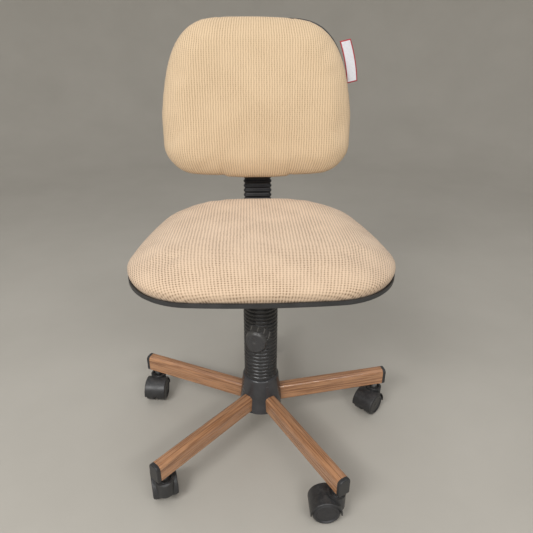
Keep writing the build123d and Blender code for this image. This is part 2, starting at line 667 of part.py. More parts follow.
def upright_sleeve():
    """Ribbed rubber sleeve on the upright, closed round the bar at its foot."""
    high = CARRIAGE_LOW - SOFT_GAP
    pitch = (high - SLEEVE_START) / SLEEVE_RIBS
    levels = rib_levels(SLEEVE_START, pitch, SLEEVE_RIBS, SLEEVE_RIB, 0.0)
    levels.append((high, SLEEVE_RIB))
    sections = [Plane(origin=(0, 0, z), x_dir=(1, 0, 0)) *
                RectangleRounded(SLEEVE_WIDTH - 2 * dip, SLEEVE_DEPTH - 2 * dip, SLEEVE_CORNER - dip)
                for z, dip in levels]
    inset = SLEEVE_RIB + SLEEVE_SKIN
    bore = Plane(origin=(0, 0, SLEEVE_START + SLEEVE_PLUG), x_dir=(1, 0, 0)) * RectangleRounded(
        SLEEVE_WIDTH - 2 * inset, SLEEVE_DEPTH - 2 * inset, SLEEVE_CORNER - SLEEVE_RIB)
    sleeve = loft(sections, ruled=True) - extrude(bore, high - SLEEVE_START)
    return UPRIGHT * (sleeve - bar_hole(SLEEVE_START, high))


def back_carriage():
    """Block that slides on the upright, with two ears for the pivot pin and a thread for the clamp."""
    half = CARRIAGE_WIDTH / 2
    body = block((-half, half), (-CARRIAGE_FRONT, CARRIAGE_REAR), (CARRIAGE_LOW, CARRIAGE_TOP))
    body = fillet(body.edges(), CARRIAGE_ROUND)
    near = KNUCKLE_WIDTH / 2 + EAR_GAP
    height = (CARRIAGE_RISE - KNUCKLE_RADIUS, CARRIAGE_RISE + KNUCKLE_RADIUS)
    tip = cross_rod(KNUCKLE_RADIUS, EAR_THICK)
    for side in (-1, 1):
        body += block(sorted((side * near, side * (near + EAR_THICK))), (-PIVOT_FORWARD, 0), height)
        body += Pos(side * (near + EAR_THICK / 2), -PIVOT_FORWARD, CARRIAGE_RISE) * tip
    body -= bar_hole(CARRIAGE_LOW, CARRIAGE_TOP)
    body -= Pos(0, -PIVOT_FORWARD, CARRIAGE_RISE) * cross_rod(PIVOT_RADIUS, CARRIAGE_WIDTH)
    thread = deep_rod(KNOB_SCREW_RADIUS + RUN_FIT, 0, CARRIAGE_REAR + GUIDE_WALL)
    return UPRIGHT * (body - Pos(0, 0, CARRIAGE_RISE) * thread)


def height_knob():
    """Clamp knob behind the carriage that holds the back's height."""
    place = Pos(0, BAR_THICK / 2 + SLIDE_FIT, CARRIAGE_RISE) * Rot(X=90)
    return [UPRIGHT * place * piece for piece in clamp_knob()]


def pivot_pin():
    """Pin through the ears and the knuckle, which the back tilts on."""
    reach = KNUCKLE_WIDTH + 2 * (EAR_GAP + EAR_THICK)
    return UPRIGHT * Pos(0, -PIVOT_FORWARD, CARRIAGE_RISE) * cross_rod(PIVOT_RADIUS, reach)


def back_screw_places():
    """Middle of each screw that holds the bracket to the back, in the upright's frame."""
    return [(x * BACK_SCREW_X, CARRIAGE_RISE + z * BACK_SCREW_Z) for x in (-1, 1) for z in (-1, 1)]


def back_screw_bar(radius, front, rear):
    """Round bars along the depth at the back's screw places, distances given forward of the upright."""
    return [Pos(x, 0, z) * deep_rod(radius, -front, -rear) for x, z in back_screw_places()]


def pivot_bracket():
    """Plate on the back with a knuckle round the pivot pin."""
    half = BRACKET_WIDTH / 2
    low, high = CARRIAGE_RISE - BRACKET_HEIGHT / 2, CARRIAGE_RISE + BRACKET_HEIGHT / 2
    body = block((-half, half), (-SHELL_REAR, -BRACKET_REAR), (low, high))
    body += block((-KNUCKLE_WIDTH / 2, KNUCKLE_WIDTH / 2), (-SHELL_REAR, -PIVOT_FORWARD),
                  (CARRIAGE_RISE - KNUCKLE_RADIUS, CARRIAGE_RISE + KNUCKLE_RADIUS))
    pivot = Pos(0, -PIVOT_FORWARD, CARRIAGE_RISE)
    body += pivot * cross_rod(KNUCKLE_RADIUS, KNUCKLE_WIDTH)
    body -= pivot * cross_rod(PIVOT_RADIUS + RUN_FIT, KNUCKLE_WIDTH)
    for hole in back_screw_bar(SCREW_RADIUS + SLIDE_FIT, SHELL_REAR, BRACKET_REAR):
        body -= hole
    return UPRIGHT * body


def back_plan(inset):
    """The back's outline seen from the front, drawn in all round, with its height along Y."""
    return rounded_plan(BACK_LOW_SPAN - 2 * inset, BACK_TOP_SPAN - 2 * inset, BACK_HEIGHT - 2 * inset,
                        (BACK_LOW_BOW, BACK_SIDE_BOW, BACK_TOP_BOW),
                        (BACK_LOW_RADIUS - inset, BACK_TOP_RADIUS - inset))


def back_sections(inset):
    """Place across the back, share of its half width and lower and upper height, station by station."""
    plan = back_plan(inset)
    half = plan.bounding_box().size.X / 2
    shares = [-share for share in reversed(BACK_STATIONS[1:])] + BACK_STATIONS
    rows = []
    for share in shares:
        line = Line((share * half, -BACK_HEIGHT), (share * half, BACK_HEIGHT))
        ends = (plan & line).vertices().sort_by(Axis.Y)
        rows.append((share * half, share, BACK_CENTRE + ends[0].Y, BACK_CENTRE + ends[-1].Y))
    return rows


def back_bend(x):
    """How far the back curves forward at a distance from its middle."""
    return BACK_CURVE_RADIUS - math.sqrt(BACK_CURVE_RADIUS ** 2 - x ** 2)


def section_plane(x):
    """Upright plane across the back, with the depth and the height as its axes."""
    return Plane(origin=(x, 0, 0), x_dir=(0, 1, 0), z_dir=(1, 0, 0))


def curved_panel(inset, rear, thick):
    """Panel of even thickness on the back's outline, bent to the back's curve."""
    faces = []
    for x, share, low, high in back_sections(inset):
        behind = -rear - back_bend(x)
        corners = [(behind, low), (behind, high), (behind - thick, high), (behind - thick, low)]
        faces.append(section_plane(x) * make_face(Polyline(*corners, close=True)))
    return loft(faces)


def back_shell():
    """Moulded cover on the rear of the back, with a flat seat for the bracket."""
    panel = curved_panel(0, SHELL_REAR, BACK_SHELL_THICK)
    half = BRACKET_WIDTH / 2
    seat = block((-half, half), (-SHELL_REAR - BACK_SHELL_THICK, -SHELL_REAR),
                 (CARRIAGE_RISE - BRACKET_HEIGHT / 2, CARRIAGE_RISE + BRACKET_HEIGHT / 2))
    panel += seat
    for hole in back_screw_bar(SCREW_RADIUS + SLIDE_FIT, SHELL_REAR + 2 * BACK_SHELL_THICK, SHELL_REAR):
        panel -= hole
    return panel


def back_pan():
    """Curved plywood board in the back."""
    pan = curved_panel(BACK_PAN_INSET, BACK_PAD_REAR, BACK_PAN_THICK)
    for hole in back_screw_bar(SCREW_RADIUS, BACK_PAD_REAR + SCREW_BITE, BACK_PAD_REAR - SOFT_GAP):
        pan -= hole
    return pan


def back_cushion():
    """Curved pad with a crowned front and drawn-in edges, recessed behind for the board."""
    faces = []
    for x, share, low, high in back_sections(BACK_PAD_INSET):
        rear = -BACK_PAD_REAR - back_bend(x)
        thick = BACK_PAD_THICK * (1 - BACK_PAD_TAPER * share ** BACK_PAD_FALL)
        front = rear - thick
        middle = rear - thick / 2
        roll = min(BACK_PAD_ROLL, (high - low) / 4)
        crown = front - BACK_PAD_CROWN * (1 - share ** 2)
        tuck = min(BACK_PAD_TUCK, roll / 2)
        edges = [Line((rear, low + tuck), (rear, high - tuck)),
                 ThreePointArc((rear, high - tuck), (middle, high), (front, high - roll)),
                 ThreePointArc((front, high - roll), (crown, (low + high) / 2), (front, low + roll)),
                 ThreePointArc((front, low + roll), (middle, low), (rear, low + tuck))]
        faces.append(section_plane(x) * make_face(edges))
    recess = curved_panel(BACK_PAN_INSET - SOFT_GAP, BACK_PAD_REAR - SOFT_GAP, BACK_PAN_THICK + 2 * SOFT_GAP)
    return loft(faces) - recess


def back_screws():
    """Round-headed screws from the bracket into the board."""
    shafts = back_screw_bar(SCREW_RADIUS, BACK_PAD_REAR + SCREW_BITE, BRACKET_REAR)
    heads = back_screw_bar(SCREW_HEAD_RADIUS, BRACKET_REAR, BRACKET_REAR - SCREW_HEAD)
    return [shaft + head for shaft, head in zip(shafts, heads)]


def back_label(cushion, shell):
    """Thin cloth label standing out from the seam at the back's edge."""
    level = LABEL_RISE - BACK_CENTRE
    edge = (back_plan(0) & Line((0, level), (BACK_LOW_SPAN, level))).vertices().sort_by(Axis.X)[-1].X
    seam = -BACK_PAD_REAR - back_bend(edge)
    half = LABEL_WIDTH / 2
    flat = block((-half, half), (-LABEL_THICK, 0), (-LABEL_LENGTH / 2, LABEL_LENGTH / 2))
    return Pos(edge + half + LABEL_STAND, seam, LABEL_RISE) * Rot(Y=-LABEL_LEAN) * flat - cushion - shell


def caster_parts(index, turn):
    """Hood, steel pins and two wheels of one caster, set under its arm."""
    place = Rot(Z=turn) * Pos(STEM_REACH, 0, 0) * Rot(Z=CASTER_TURNS[index] - turn)
    return {
        f"caster_hood_{index + 1}": place * caster_hood(),
        f"caster_pins_{index + 1}": [place * piece for piece in caster_pins()],
        f"caster_wheel_{index + 1}_a": place * caster_wheel(1),
        f"caster_wheel_{index + 1}_b": place * caster_wheel(-1),
    }


def base_parts():
    """Everything that rolls on the floor below the gas lift."""
    turns = arm_turns()
    parts = {f"base_arm_{i + 1}": Rot(Z=turn) * base_arm() for i, turn in enumerate(turns)}
    parts["arm_end_caps"] = [Rot(Z=turn) * arm_end_cap() for turn in turns]
    parts["caster_sockets"] = [Rot(Z=turn) * caster_socket() for turn in turns]
    parts["hub_cover"] = hub_cover()
    parts["hub_sleeve"] = hub_sleeve()
    for index, turn in enumerate(turns):
        parts.update(caster_parts(index, turn))
    return parts


def column_parts():
    """Gas lift and its boot."""
    return {
        "gas_outer_tube": gas_outer_tube(),
        "gas_guide_bush": gas_guide_bush(),
        "gas_piston_rod": gas_piston_rod(),
        "gas_thrust_bearing": gas_thrust_bearing(),
        "gas_cylinder": gas_cylinder(),
        "gas_release_pin": rod(PIN_RADIUS, PIN_TOP - PIN_LENGTH, PIN_TOP),
        "column_boot": column_boot(),
        "boot_top_ring": boot_top_ring(),
    }


def seat_parts():
    """Seat, mechanism and release lever."""
    lever = release_lever()
    return {
        "seat_mechanism": seat_mechanism(),
        "release_lever": lever,
        "lever_handle": lever_handle(lever),
        "lever_pin": lever_pin(),
        "bar_guide": bar_guide(),
        "depth_knob": depth_knob(),
        "seat_shell": seat_shell(),
        "seat_pan": seat_pan(),
        "seat_cushion": seat_cushion(),
        "seat_screws": seat_screws(),
    }


def back_parts():
    """Back bar, carriage and back rest."""
    shell = back_shell()
    cushion = back_cushion()
    return {
        "back_bar": back_bar(),
        "upright_sleeve": upright_sleeve(),
        "back_carriage": back_carriage(),
        "height_knob": height_knob(),
        "pivot_pin": pivot_pin(),
        "pivot_bracket": pivot_bracket(),
        "back_shell": UPRIGHT * shell,
        "back_pan": UPRIGHT * back_pan(),
        "back_cushion": UPRIGHT * cushion,
        "back_screws": [UPRIGHT * screw for screw in back_screws()],
        "back_label": UPRIGHT * back_label(cushion, shell),
    }


def main():
    """Write one STEP file for each node."""
    os.makedirs("parts", exist_ok=True)
    parts = {**base_parts(), **column_parts(), **seat_parts(), **back_parts()}
    for name, shape in parts.items():
        solids = shape if isinstance(shape, list) else [shape]
        node = Compound(children=[solid for piece in solids for solid in piece.solids()])
        export_step(node, f"parts/{name}.step")


if __name__ == "__main__":
    main()
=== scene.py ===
import bpy
import json
import math
import numpy as np
from mathutils import Matrix, Vector


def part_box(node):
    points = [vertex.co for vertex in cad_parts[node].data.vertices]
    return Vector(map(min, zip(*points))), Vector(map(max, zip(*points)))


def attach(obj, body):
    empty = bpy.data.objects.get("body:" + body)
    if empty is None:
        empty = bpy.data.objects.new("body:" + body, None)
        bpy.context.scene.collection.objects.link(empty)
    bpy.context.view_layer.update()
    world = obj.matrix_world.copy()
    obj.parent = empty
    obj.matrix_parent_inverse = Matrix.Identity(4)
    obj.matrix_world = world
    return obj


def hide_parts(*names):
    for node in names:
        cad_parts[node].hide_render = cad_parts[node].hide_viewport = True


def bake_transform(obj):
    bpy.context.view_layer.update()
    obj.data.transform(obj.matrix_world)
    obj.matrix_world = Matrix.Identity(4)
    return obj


# Desk chair, in metres, in the frame of the solids: +Z up, the sitter facing -Y.

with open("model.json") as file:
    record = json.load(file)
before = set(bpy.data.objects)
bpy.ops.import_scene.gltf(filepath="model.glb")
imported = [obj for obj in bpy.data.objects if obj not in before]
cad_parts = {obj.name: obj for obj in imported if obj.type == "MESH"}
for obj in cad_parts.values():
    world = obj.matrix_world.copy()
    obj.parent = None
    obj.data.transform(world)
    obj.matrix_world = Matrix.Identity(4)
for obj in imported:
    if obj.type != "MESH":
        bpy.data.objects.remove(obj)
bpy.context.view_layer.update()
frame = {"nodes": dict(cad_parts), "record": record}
JOINTS = {joint["name"]: joint for joint in frame["record"]["behaviour"]["joints"]}
ARMS = 5

# Camera
EYE = (-0.025, -0.8914, 0.855)
PITCH_DOWN = 26.2
YAW_RIGHT = 2.38
ROLL = 0.22
LENS_MM = 33.28
SENSOR_MM = 36.0

# Seat pad
SEAT_WAIST = 0.0139
SEAT_SHOULDER = 0.118
SEAT_FOOT = 0.0053
SEAT_SKIRT = 0.0055
SEAT_DOME = 0.002
SEAT_SWELL = 0.0025

# Back pad, with its tight corner, its two creases and the panel between them
BACK_THICK = 0.050
BACK_WAIST = 0.020
BACK_SHOULDER = 0.046
BACK_FOOT = 0.005
BACK_DOME = 0.006
BACK_SWELL = 0.0025
BACK_CURVE = 1.4
BACK_SPINE = 0.03
BACK_ASIDE = -0.002
TIGHT_ANGLE = 50.0
TIGHT_SPREAD = 22.0
TIGHT_DEPTH = 0.0035
TIGHT_MIDDLE = 0.01
CREASES = (-0.075, 0.070)
CREASE_WIDTH = 0.0045
CREASE_DEPTH = 0.0032
CREASE_FAINT = 0.25
CREASE_TOP = 0.4
PANEL_DROP = 0.0030
PANEL_EDGE = 0.0025
PANEL_REACH = 0.05

# Rows and columns of both pads
PAD_COLUMNS = 220
PAD_FACE_SHARES = (0.04, 0.2, 0.4, 0.6, 0.8)
PAD_SHOULDER_ROWS = 28
PAD_SIDE_ROWS = 7
PAD_FOOT_SHARES = (1.0, 0.6, 0.2)
OUTLINE_SIDES = 720
OUTLINE_LEAN = 0.05
GAP_SIDES = 180

# Simulation of the pads
PAD_VOXEL = 0.005
PAD_FRAMES = 20
PAD_PRESSURE = 4.0
PAD_SOFTNESS = 0.5
PAD_SOFTENING = 6
PAD_HELD = 0.004
LEAST_MOVE = 1e-9

# Cover cloth: painted shade gives the places along the map where it starts and is full, and its share
CLOTH_FALL = 0.85
CLOTH_MIDDLE = 0.02
CLOTH_BUMP = 0.0009
CLOTH_BUMP_SHARE = 0.7
CLOTH_SOIL_SHARE = 0.35
WEAVE_WAVER = 0.0006
VALLEY_DEPTH = 0.55
HOLE_DEPTH = 0.45
FUZZ_DEPTH = 0.25
COVERS = {
    "seat_cloth": {
        "rib_pitch": 0.0059,
        "row_pitch": 0.0051,
        "row_depth": 0.8,
        "valley_shade": 0.24,
        "hole_shade": 0.95,
        # painted shade: the seat's front darker, towards the soil colour
        "painted_shade": (-0.04, -0.22, 0.65),
        "thread": (0.81, 0.62, 0.45, 1.0),
        "hole": (0.17, 0.088, 0.038, 1.0),
        "soil": (0.66, 0.49, 0.34, 1.0),
    },
    "back_cloth": {
        "rib_pitch": 0.0054,
        "row_pitch": 0.0040,
        "row_depth": 0.0,
        "valley_shade": 0.30,
        "hole_shade": 0.5,
        # painted shade: the back's top darker, towards the soil colour
        "painted_shade": (0.08, 0.17, 0.5),
        "thread": (0.77, 0.59, 0.39, 1.0),
        "hole": (0.25, 0.14, 0.062, 1.0),
        "soil": (0.62, 0.46, 0.29, 1.0),
    },
}

# Black mouldings and rubber: colour, roughness, depth of the grain and share of dust
MOULDINGS = {
    "black_moulding": ((0.024, 0.024, 0.025, 1.0), 0.42, 0.00012, 0.1),
    "hub_moulding": ((0.034, 0.034, 0.037, 1.0), 0.19, 0.00003, 0.1),
    "hood_moulding": ((0.022, 0.022, 0.023, 1.0), 0.38, 0.0001, 0.25),
    "wheel_nylon": ((0.020, 0.020, 0.022, 1.0), 0.36, 0.0001, 0.15),
    "boot_rubber": ((0.022, 0.022, 0.023, 1.0), 0.27, 0.00005, 0.1),
    "sleeve_rubber": ((0.014, 0.014, 0.016, 1.0), 0.42, 0.00006, 0.1),
}
# The second mark is a pale colour: wear on the flutes, and a painted highlight on the badge's boss and the
# upper half of its bevel
BOOT_MARKS = (("plate", (0.050, 0.050, 0.053, 1.0)), ("wear_and_highlight", (0.20, 0.195, 0.185, 1.0)))
DUST = (0.20, 0.19, 0.18, 1.0)
WEAR_GAIN = 1.5
WEAR_LIFT = 0.004
WEAR_GLOSS = (-0.06, 0.1)

# Wood-look foil: scale along and across, detail, roughness and range of each part of the grain
WOOD_GRAIN = {
    "Tone": (5.0, 60.0, 3.0, 0.6, 0.28, 0.72),
    "Streaks": (10.0, 430.0, 2.0, 0.5, 0.46, 0.62),
    "Pores": (40.0, 900.0, 2.0, 0.6, 0.52, 0.66),
}
WOOD_DEEP = (0.42, 0.205, 0.100, 1.0)
WOOD_PALE = (0.60, 0.320, 0.168, 1.0)
WOOD_STREAK = (0.23, 0.100, 0.046, 1.0)
WOOD_PORE = (0.14, 0.060, 0.027, 1.0)
WOOD_STREAK_SHARE = 0.8
WOOD_PORE_SHARE = 0.55
WOOD_PORE_DEPTH = 0.00008

# Steel, powder coat, plywood and floor
STEEL_DARK = (0.36, 0.36, 0.37, 1.0)
STEEL_PALE = (0.55, 0.55, 0.54, 1.0)
STEEL_MARK_DEPTH = 0.00006
COAT_BLACK = (0.016, 0.016, 0.017, 1.0)
COAT_SCUFF = (0.035, 0.034, 0.033, 1.0)
COAT_PEEL_DEPTH = 0.00012
PLY_DARK = (0.36, 0.23, 0.12, 1.0)
PLY_PALE = (0.62, 0.45, 0.28, 1.0)
PLY_FIBRE_DEPTH = 0.0002
FLOOR_DARK = (0.44, 0.415, 0.365, 1.0)
FLOOR_PALE = (0.53, 0.50, 0.445, 1.0)

# Ribbed boot, with its badge and the flutes about it
TUCKED_IN = 0.003
BOOT_CREST = 0.0362
BOOT_VALLEY = 0.0330
BOOT_WALL = 0.0020
BOOT_PITCH = 0.0090
BOOT_END = 0.008
BOOT_ROUND = 0.55
BOOT_PLAIN = 0.75
BOOT_ROWS = 390
BOOT_COLUMNS = 250
BADGE_RADIUS = 0.0235
BADGE_PROUD = 0.0030
BADGE_RISE = 0.099
BADGE_TURN = 22.0
BADGE_CLEAR = 0.003
BEVEL_WIDTH = 0.0046
# Share of painted highlight on the upper half of the bevel
BEVEL_HIGHLIGHT = 0.55
BOSS_RADIUS = 0.003
BOSS_PROUD = 0.0010
# Share of painted highlight on the boss
BOSS_HIGHLIGHT = 0.25
FLUTE_PITCH = 0.0148
FLUTE_START = -0.0029
FLUTE_RING = (0.029, 0.043)
FLUTE_SIDES = (-0.014, 0.038)
FLUTE_END = 0.003
FLUTE_SLANT = 0.29
FLUTE_SHARP = 0.8
FLUTE_DEPTH = 0.0018
FLUTE_WORN = 0.7

# Ribbed sleeve
SLEEVE_HALF_WIDTH = 0.033
SLEEVE_HALF_DEPTH = 0.014
SLEEVE_RIBS = 18
SLEEVE_RIB_DEPTH = 0.003
SLEEVE_RIB_ROWS = 12
SLEEVE_COLUMNS = 96
SLEEVE_ROUND = 1.5
SLEEVE_SQUARENESS = 5.0
SLEEVE_BORE = 0.82

# Edge label
LABEL_SIZE = (0.024, 0.084)
LABEL_GRID = (13, 31)
LABEL_THICK = 0.0006
LABEL_LEAN = 13.0
LABEL_CURL = 0.004
LABEL_BOW = 0.003
LABEL_BORDER = (0.0021, 0.0028)
LABEL_RED = (0.46, 0.045, 0.055, 1.0)
LABEL_GREY = (0.66, 0.66, 0.70, 1.0)
LABEL_WHITE = (0.84, 0.84, 0.88, 1.0)
LABEL_THREAD_DEPTH = 0.00015

# Floor and wall
FLOOR_REACH = 2.4
SWEEP = 1.6
WALL_TOP = 4.5
FLOOR_ROWS = 8
SWEEP_ROWS = 64
FLOOR_COLUMNS = 96

# Lamps: name, place, aim, width and height, and watts
LAMPS = (
    ("left", (-1.1, -1.7, 2.3), (0, 0, 0.4), (0.7, 0.7), 14),
    ("low_left", (-1.26, -1.8, 1.9), (0, 0, 0.35), (1.3, 0.3), 22),
    ("low_right", (1.0, -1.96, 1.9), (0, 0, 0.35), (1.2, 0.3), 15),
    ("front", (-0.2, -2.6, 1.4), (0, 0, 0.5), (2.4, 2.4), 13),
    ("top", (0.0, -0.4, 3.0), (0, 0, 0.4), (2.0, 2.0), 11),
)
SKY_COLOUR = (0.96, 0.97, 1.0, 1.0)
SKY_STRENGTH = 0.6


def node(tree, kind, inputs=None, **settings):
    """Adds a shader node, sets its properties, then sets or links its inputs by name or number."""
    made = tree.nodes.new(kind)
    for key, value in settings.items():
        setattr(made, key, value)
    for key, value in (inputs or {}).items():
        if isinstance(value, bpy.types.NodeSocket):
            tree.links.new(value, made.inputs[key])
        else:
            made.inputs[key].default_value = value
    return made


def calc(tree, operation, first, second=0.0):
    """Output of a Math node on two sockets or numbers."""
    return node(tree, "ShaderNodeMath", {0: first, 1: second}, operation=operation).outputs[0]


def times(tree, first, second):
    """Product of two sockets or numbers."""
    return calc(tree, "MULTIPLY", first, second)


def blend_colour(tree, factor, first, second):
    """Colour output of a Mix node on sockets or colours."""
    return node(tree, "ShaderNodeMix", {0: factor, 6: first, 7: second}, data_type="RGBA").outputs[2]


def noise(tree, vector, scale, detail=2.0, roughness=0.5):
    """Value output of a noise texture on a vector."""
    made = node(tree, "ShaderNodeTexNoise",
                {"Vector": vector, "Scale": scale, "Detail": detail, "Roughness": roughness})
    return made.outputs["Fac"]


def spread(tree, value, low, high, new_low=0.0, new_high=1.0):
    """Value carried from one range to another and held inside the new one."""
    made = node(tree, "ShaderNodeMapRange", {0: value, 1: low, 2: high, 3: new_low, 4: new_high})
    return made.outputs[0]


def stretched(tree, vector, scales):
    """Vector with each axis scaled by its own factor."""
    return node(tree, "ShaderNodeMapping", {"Vector": vector, "Scale": scales}).outputs[0]


def parts_of(tree, vector):
    """The three values of a vector."""
    return node(tree, "ShaderNodeSeparateXYZ", {0: vector}).outputs


def own_place(tree):
    """Object coordinates of the piece."""
    return node(tree, "ShaderNodeTexCoord").outputs["Object"]


def cloth_place(tree):
    """Flat place in metres on the map called cloth."""
    return node(tree, "ShaderNodeUVMap", uv_map="cloth").outputs[0]


def join(tree, value, socket):
    """Links an output to a socket."""
    tree.links.new(value, socket)


def group(name, values, outputs):
    """Shader node group that takes a vector and named values, and puts out named values.

    Gives the tree, its input node and its output node.
    """
    tree = bpy.data.node_groups.new(name, "ShaderNodeTree")
    tree.interface.new_socket("Vector", in_out="INPUT", socket_type="NodeSocketVector")
    for label in values:
        tree.interface.new_socket(label, in_out="INPUT", socket_type="NodeSocketFloat")
    for label in outputs:
        tree.interface.new_socket(label, in_out="OUTPUT", socket_type="NodeSocketFloat")
    return tree, tree.nodes.new("NodeGroupInput"), tree.nodes.new("NodeGroupOutput")


def place_group(tree, made, inputs):
    """Puts a node group into a material and returns its outputs."""
    return node(tree, "ShaderNodeGroup", inputs, node_tree=made).outputs


def new_material(name, roughness, metallic=0.0):
    """Material with a Principled shader: the material, its tree and the shader."""
    made = bpy.data.materials.new(name)
    made.use_nodes = True
    shader = made.node_tree.nodes["Principled BSDF"]
    shader.inputs["Roughness"].default_value = roughness
    shader.inputs["Metallic"].default_value = metallic
    return made, made.node_tree, shader


def bump(tree, shader, height, distance, strength=1.0):
    """Feeds a height through a Bump node into the shader's normal."""
    made = node(tree, "ShaderNodeBump", {"Height": height, "Distance": distance, "Strength": strength})
    join(tree, made.outputs[0], shader.inputs["Normal"])


def weave_group():
    """Ribbed cloth on a flat map in metres.

    Ribs are a cosine across the map, rows a cosine along it, and a dark stitch hole lies in each
    valley between ribs on every row. The rows cut across the ribs too, by their own depth. Slow
    noise wavers the ribs and fades the holes in patches.
    """
    tree, enter, leave = group("ribbed_weave", ["Rib Pitch", "Row Pitch", "Row Depth"],
                               ["Height", "Holes", "Valley", "Soil"])
    vector = enter.outputs["Vector"]
    place = parts_of(tree, vector)
    waver = spread(tree, noise(tree, vector, 90.0), 0.3, 0.7, -WEAVE_WAVER, WEAVE_WAVER)
    waves = []
    for axis, pitch in enumerate(["Rib Pitch", "Row Pitch"]):
        turns = calc(tree, "DIVIDE", calc(tree, "ADD", place[axis], waver), enter.outputs[pitch])
        waves.append(calc(tree, "COSINE", times(tree, turns, 2 * math.pi)))
    rib, row = waves
    notch = spread(tree, rib, 0.2, -0.6)
    stitch = spread(tree, row, -0.2, 0.6)
    patch = spread(tree, noise(tree, vector, 16.0, 3.0), 0.36, 0.60, 0.4, 1.0)
    fleck = spread(tree, noise(tree, vector, 420.0, 1.0), 0.3, 0.7, 0.5, 1.0)
    holes = times(tree, times(tree, notch, stitch), times(tree, patch, fleck))
    groove = times(tree, times(tree, stitch, enter.outputs["Row Depth"]), patch)
    valley = calc(tree, "MAXIMUM", spread(tree, rib, 0.6, -1.0), groove)
    fuzz = noise(tree, vector, 1400.0)
    height = calc(tree, "SUBTRACT", 1.0, times(tree, valley, VALLEY_DEPTH))
    height = calc(tree, "SUBTRACT", height, times(tree, holes, HOLE_DEPTH))
    height = calc(tree, "ADD", height, times(tree, fuzz, FUZZ_DEPTH))
    soil = spread(tree, noise(tree, vector, 9.0, 4.0, 0.6), 0.35, 0.75)
    join(tree, height, leave.inputs["Height"])
    join(tree, holes, leave.inputs["Holes"])
    join(tree, valley, leave.inputs["Valley"])
    join(tree, soil, leave.inputs["Soil"])
    return tree


def cover_cloth(name, weave):
    """Tan upholstery: soil dulls the thread in patches, and the weave's valleys and holes darken it.

    Painted shade darkens it further towards the soil colour along the map, from one place to another, up to
    a share.
    """
    look = COVERS[name]
    made, tree, shader = new_material(name, 0.92)
    vector = cloth_place(tree)
    cloth = place_group(tree, weave, {"Vector": vector, "Rib Pitch": look["rib_pitch"],
                                      "Row Pitch": look["row_pitch"], "Row Depth": look["row_depth"]})
    start, full, share = look["painted_shade"]
    # painted shade along the map, joined with the real soil patches into one share that mixes in the soil
    # colour
    painted_shade = spread(tree, parts_of(tree, vector)[1], start, full, 0.0, share)
    soiled_and_shaded = calc(tree, "MAXIMUM", times(tree, cloth["Soil"], CLOTH_SOIL_SHARE), painted_shade)
    colour = blend_colour(tree, soiled_and_shaded, look["thread"], look["soil"])
    colour = blend_colour(tree, times(tree, cloth["Valley"], look["valley_shade"]), colour, look["hole"])
    colour = blend_colour(tree, times(tree, cloth["Holes"], look["hole_shade"]), colour, look["hole"])
    join(tree, colour, shader.inputs["Base Color"])
    bump(tree, shader, cloth["Height"], CLOTH_BUMP, CLOTH_BUMP_SHARE)
    shader.inputs["Sheen Weight"].default_value = 0.15
    shader.inputs["Sheen Roughness"].default_value = 0.6
    shader.inputs["Specular IOR Level"].default_value = 0.15
    return made


def moulding_group():
    """Moulded surface: fine pebble grain for the height, slow patches for wear and dust on what faces up."""
    tree, enter, leave = group("moulded_surface", [], ["Grain", "Wear", "Dust"])
    vector = enter.outputs["Vector"]
    wear = spread(tree, noise(tree, vector, 24.0, 4.0, 0.6), 0.35, 0.7)
    normal = node(tree, "ShaderNodeNewGeometry").outputs["Normal"]
    upward = spread(tree, parts_of(tree, normal)[2], 0.25, 1.0)
    speck = spread(tree, noise(tree, vector, 130.0, 5.0, 0.7), 0.42, 0.72)
    join(tree, noise(tree, vector, 900.0), leave.inputs["Grain"])
    join(tree, wear, leave.inputs["Wear"])
    join(tree, times(tree, upward, speck), leave.inputs["Dust"])
    return tree


def moulded(name, moulding, marks=()):
    """Black plastic or rubber: pebble bump, patchy gloss and a little pale dust on upper faces.

    Marks are names of attributes, each with the colour of the corners that it marks.
    """
    colour, roughness, grain_depth, dust = MOULDINGS[name]
    made, tree, shader = new_material(name, roughness)
    surface = place_group(tree, moulding, {"Vector": own_place(tree)})
    lighter = tuple(channel * WEAR_GAIN + WEAR_LIFT for channel in colour[:3]) + (1.0,)
    base = blend_colour(tree, surface["Wear"], colour, lighter)
    base = blend_colour(tree, times(tree, surface["Dust"], dust), base, DUST)
    for label, other in marks:
        share = node(tree, "ShaderNodeAttribute", attribute_name=label).outputs["Fac"]
        base = blend_colour(tree, share, base, other)
    join(tree, base, shader.inputs["Base Color"])
    gloss, dull = (roughness + change for change in WEAR_GLOSS)
    join(tree, spread(tree, surface["Wear"], 0.0, 1.0, gloss, dull), shader.inputs["Roughness"])
    bump(tree, shader, surface["Grain"], grain_depth)
    return made


def wood_group():
    """Printed wood grain along X: slow bands for the tone, and long thin noise for streaks and pores."""
    tree, enter, leave = group("wood_grain", [], WOOD_GRAIN)
    for label, (along, across, detail, roughness, low, high) in WOOD_GRAIN.items():
        fibre = stretched(tree, enter.outputs["Vector"], (along, across, across))
        join(tree, spread(tree, noise(tree, fibre, 1.0, detail, roughness), low, high), leave.inputs[label])
    return tree


def wood_foil(name, grain, turn):
    """Wood-look foil on an arm, with its grain turned to run along the arm."""
    made, tree, shader = new_material(name, 0.3)
    turned = node(tree, "ShaderNodeMapping", {"Vector": own_place(tree), "Rotation": (0.0, 0.0, -turn)})
    wood = place_group(tree, grain, {"Vector": turned.outputs[0]})
    colour = blend_colour(tree, wood["Tone"], WOOD_DEEP, WOOD_PALE)
    colour = blend_colour(tree, times(tree, wood["Streaks"], WOOD_STREAK_SHARE), colour, WOOD_STREAK)
    colour = blend_colour(tree, times(tree, wood["Pores"], WOOD_PORE_SHARE), colour, WOOD_PORE)
    join(tree, colour, shader.inputs["Base Color"])
    join(tree, spread(tree, wood["Pores"], 0.0, 1.0, 0.26, 0.42), shader.inputs["Roughness"])
    bump(tree, shader, wood["Pores"], -WOOD_PORE_DEPTH)
    shader.inputs["Coat Weight"].default_value = 0.6
    shader.inputs["Coat Roughness"].default_value = 0.09
    return made


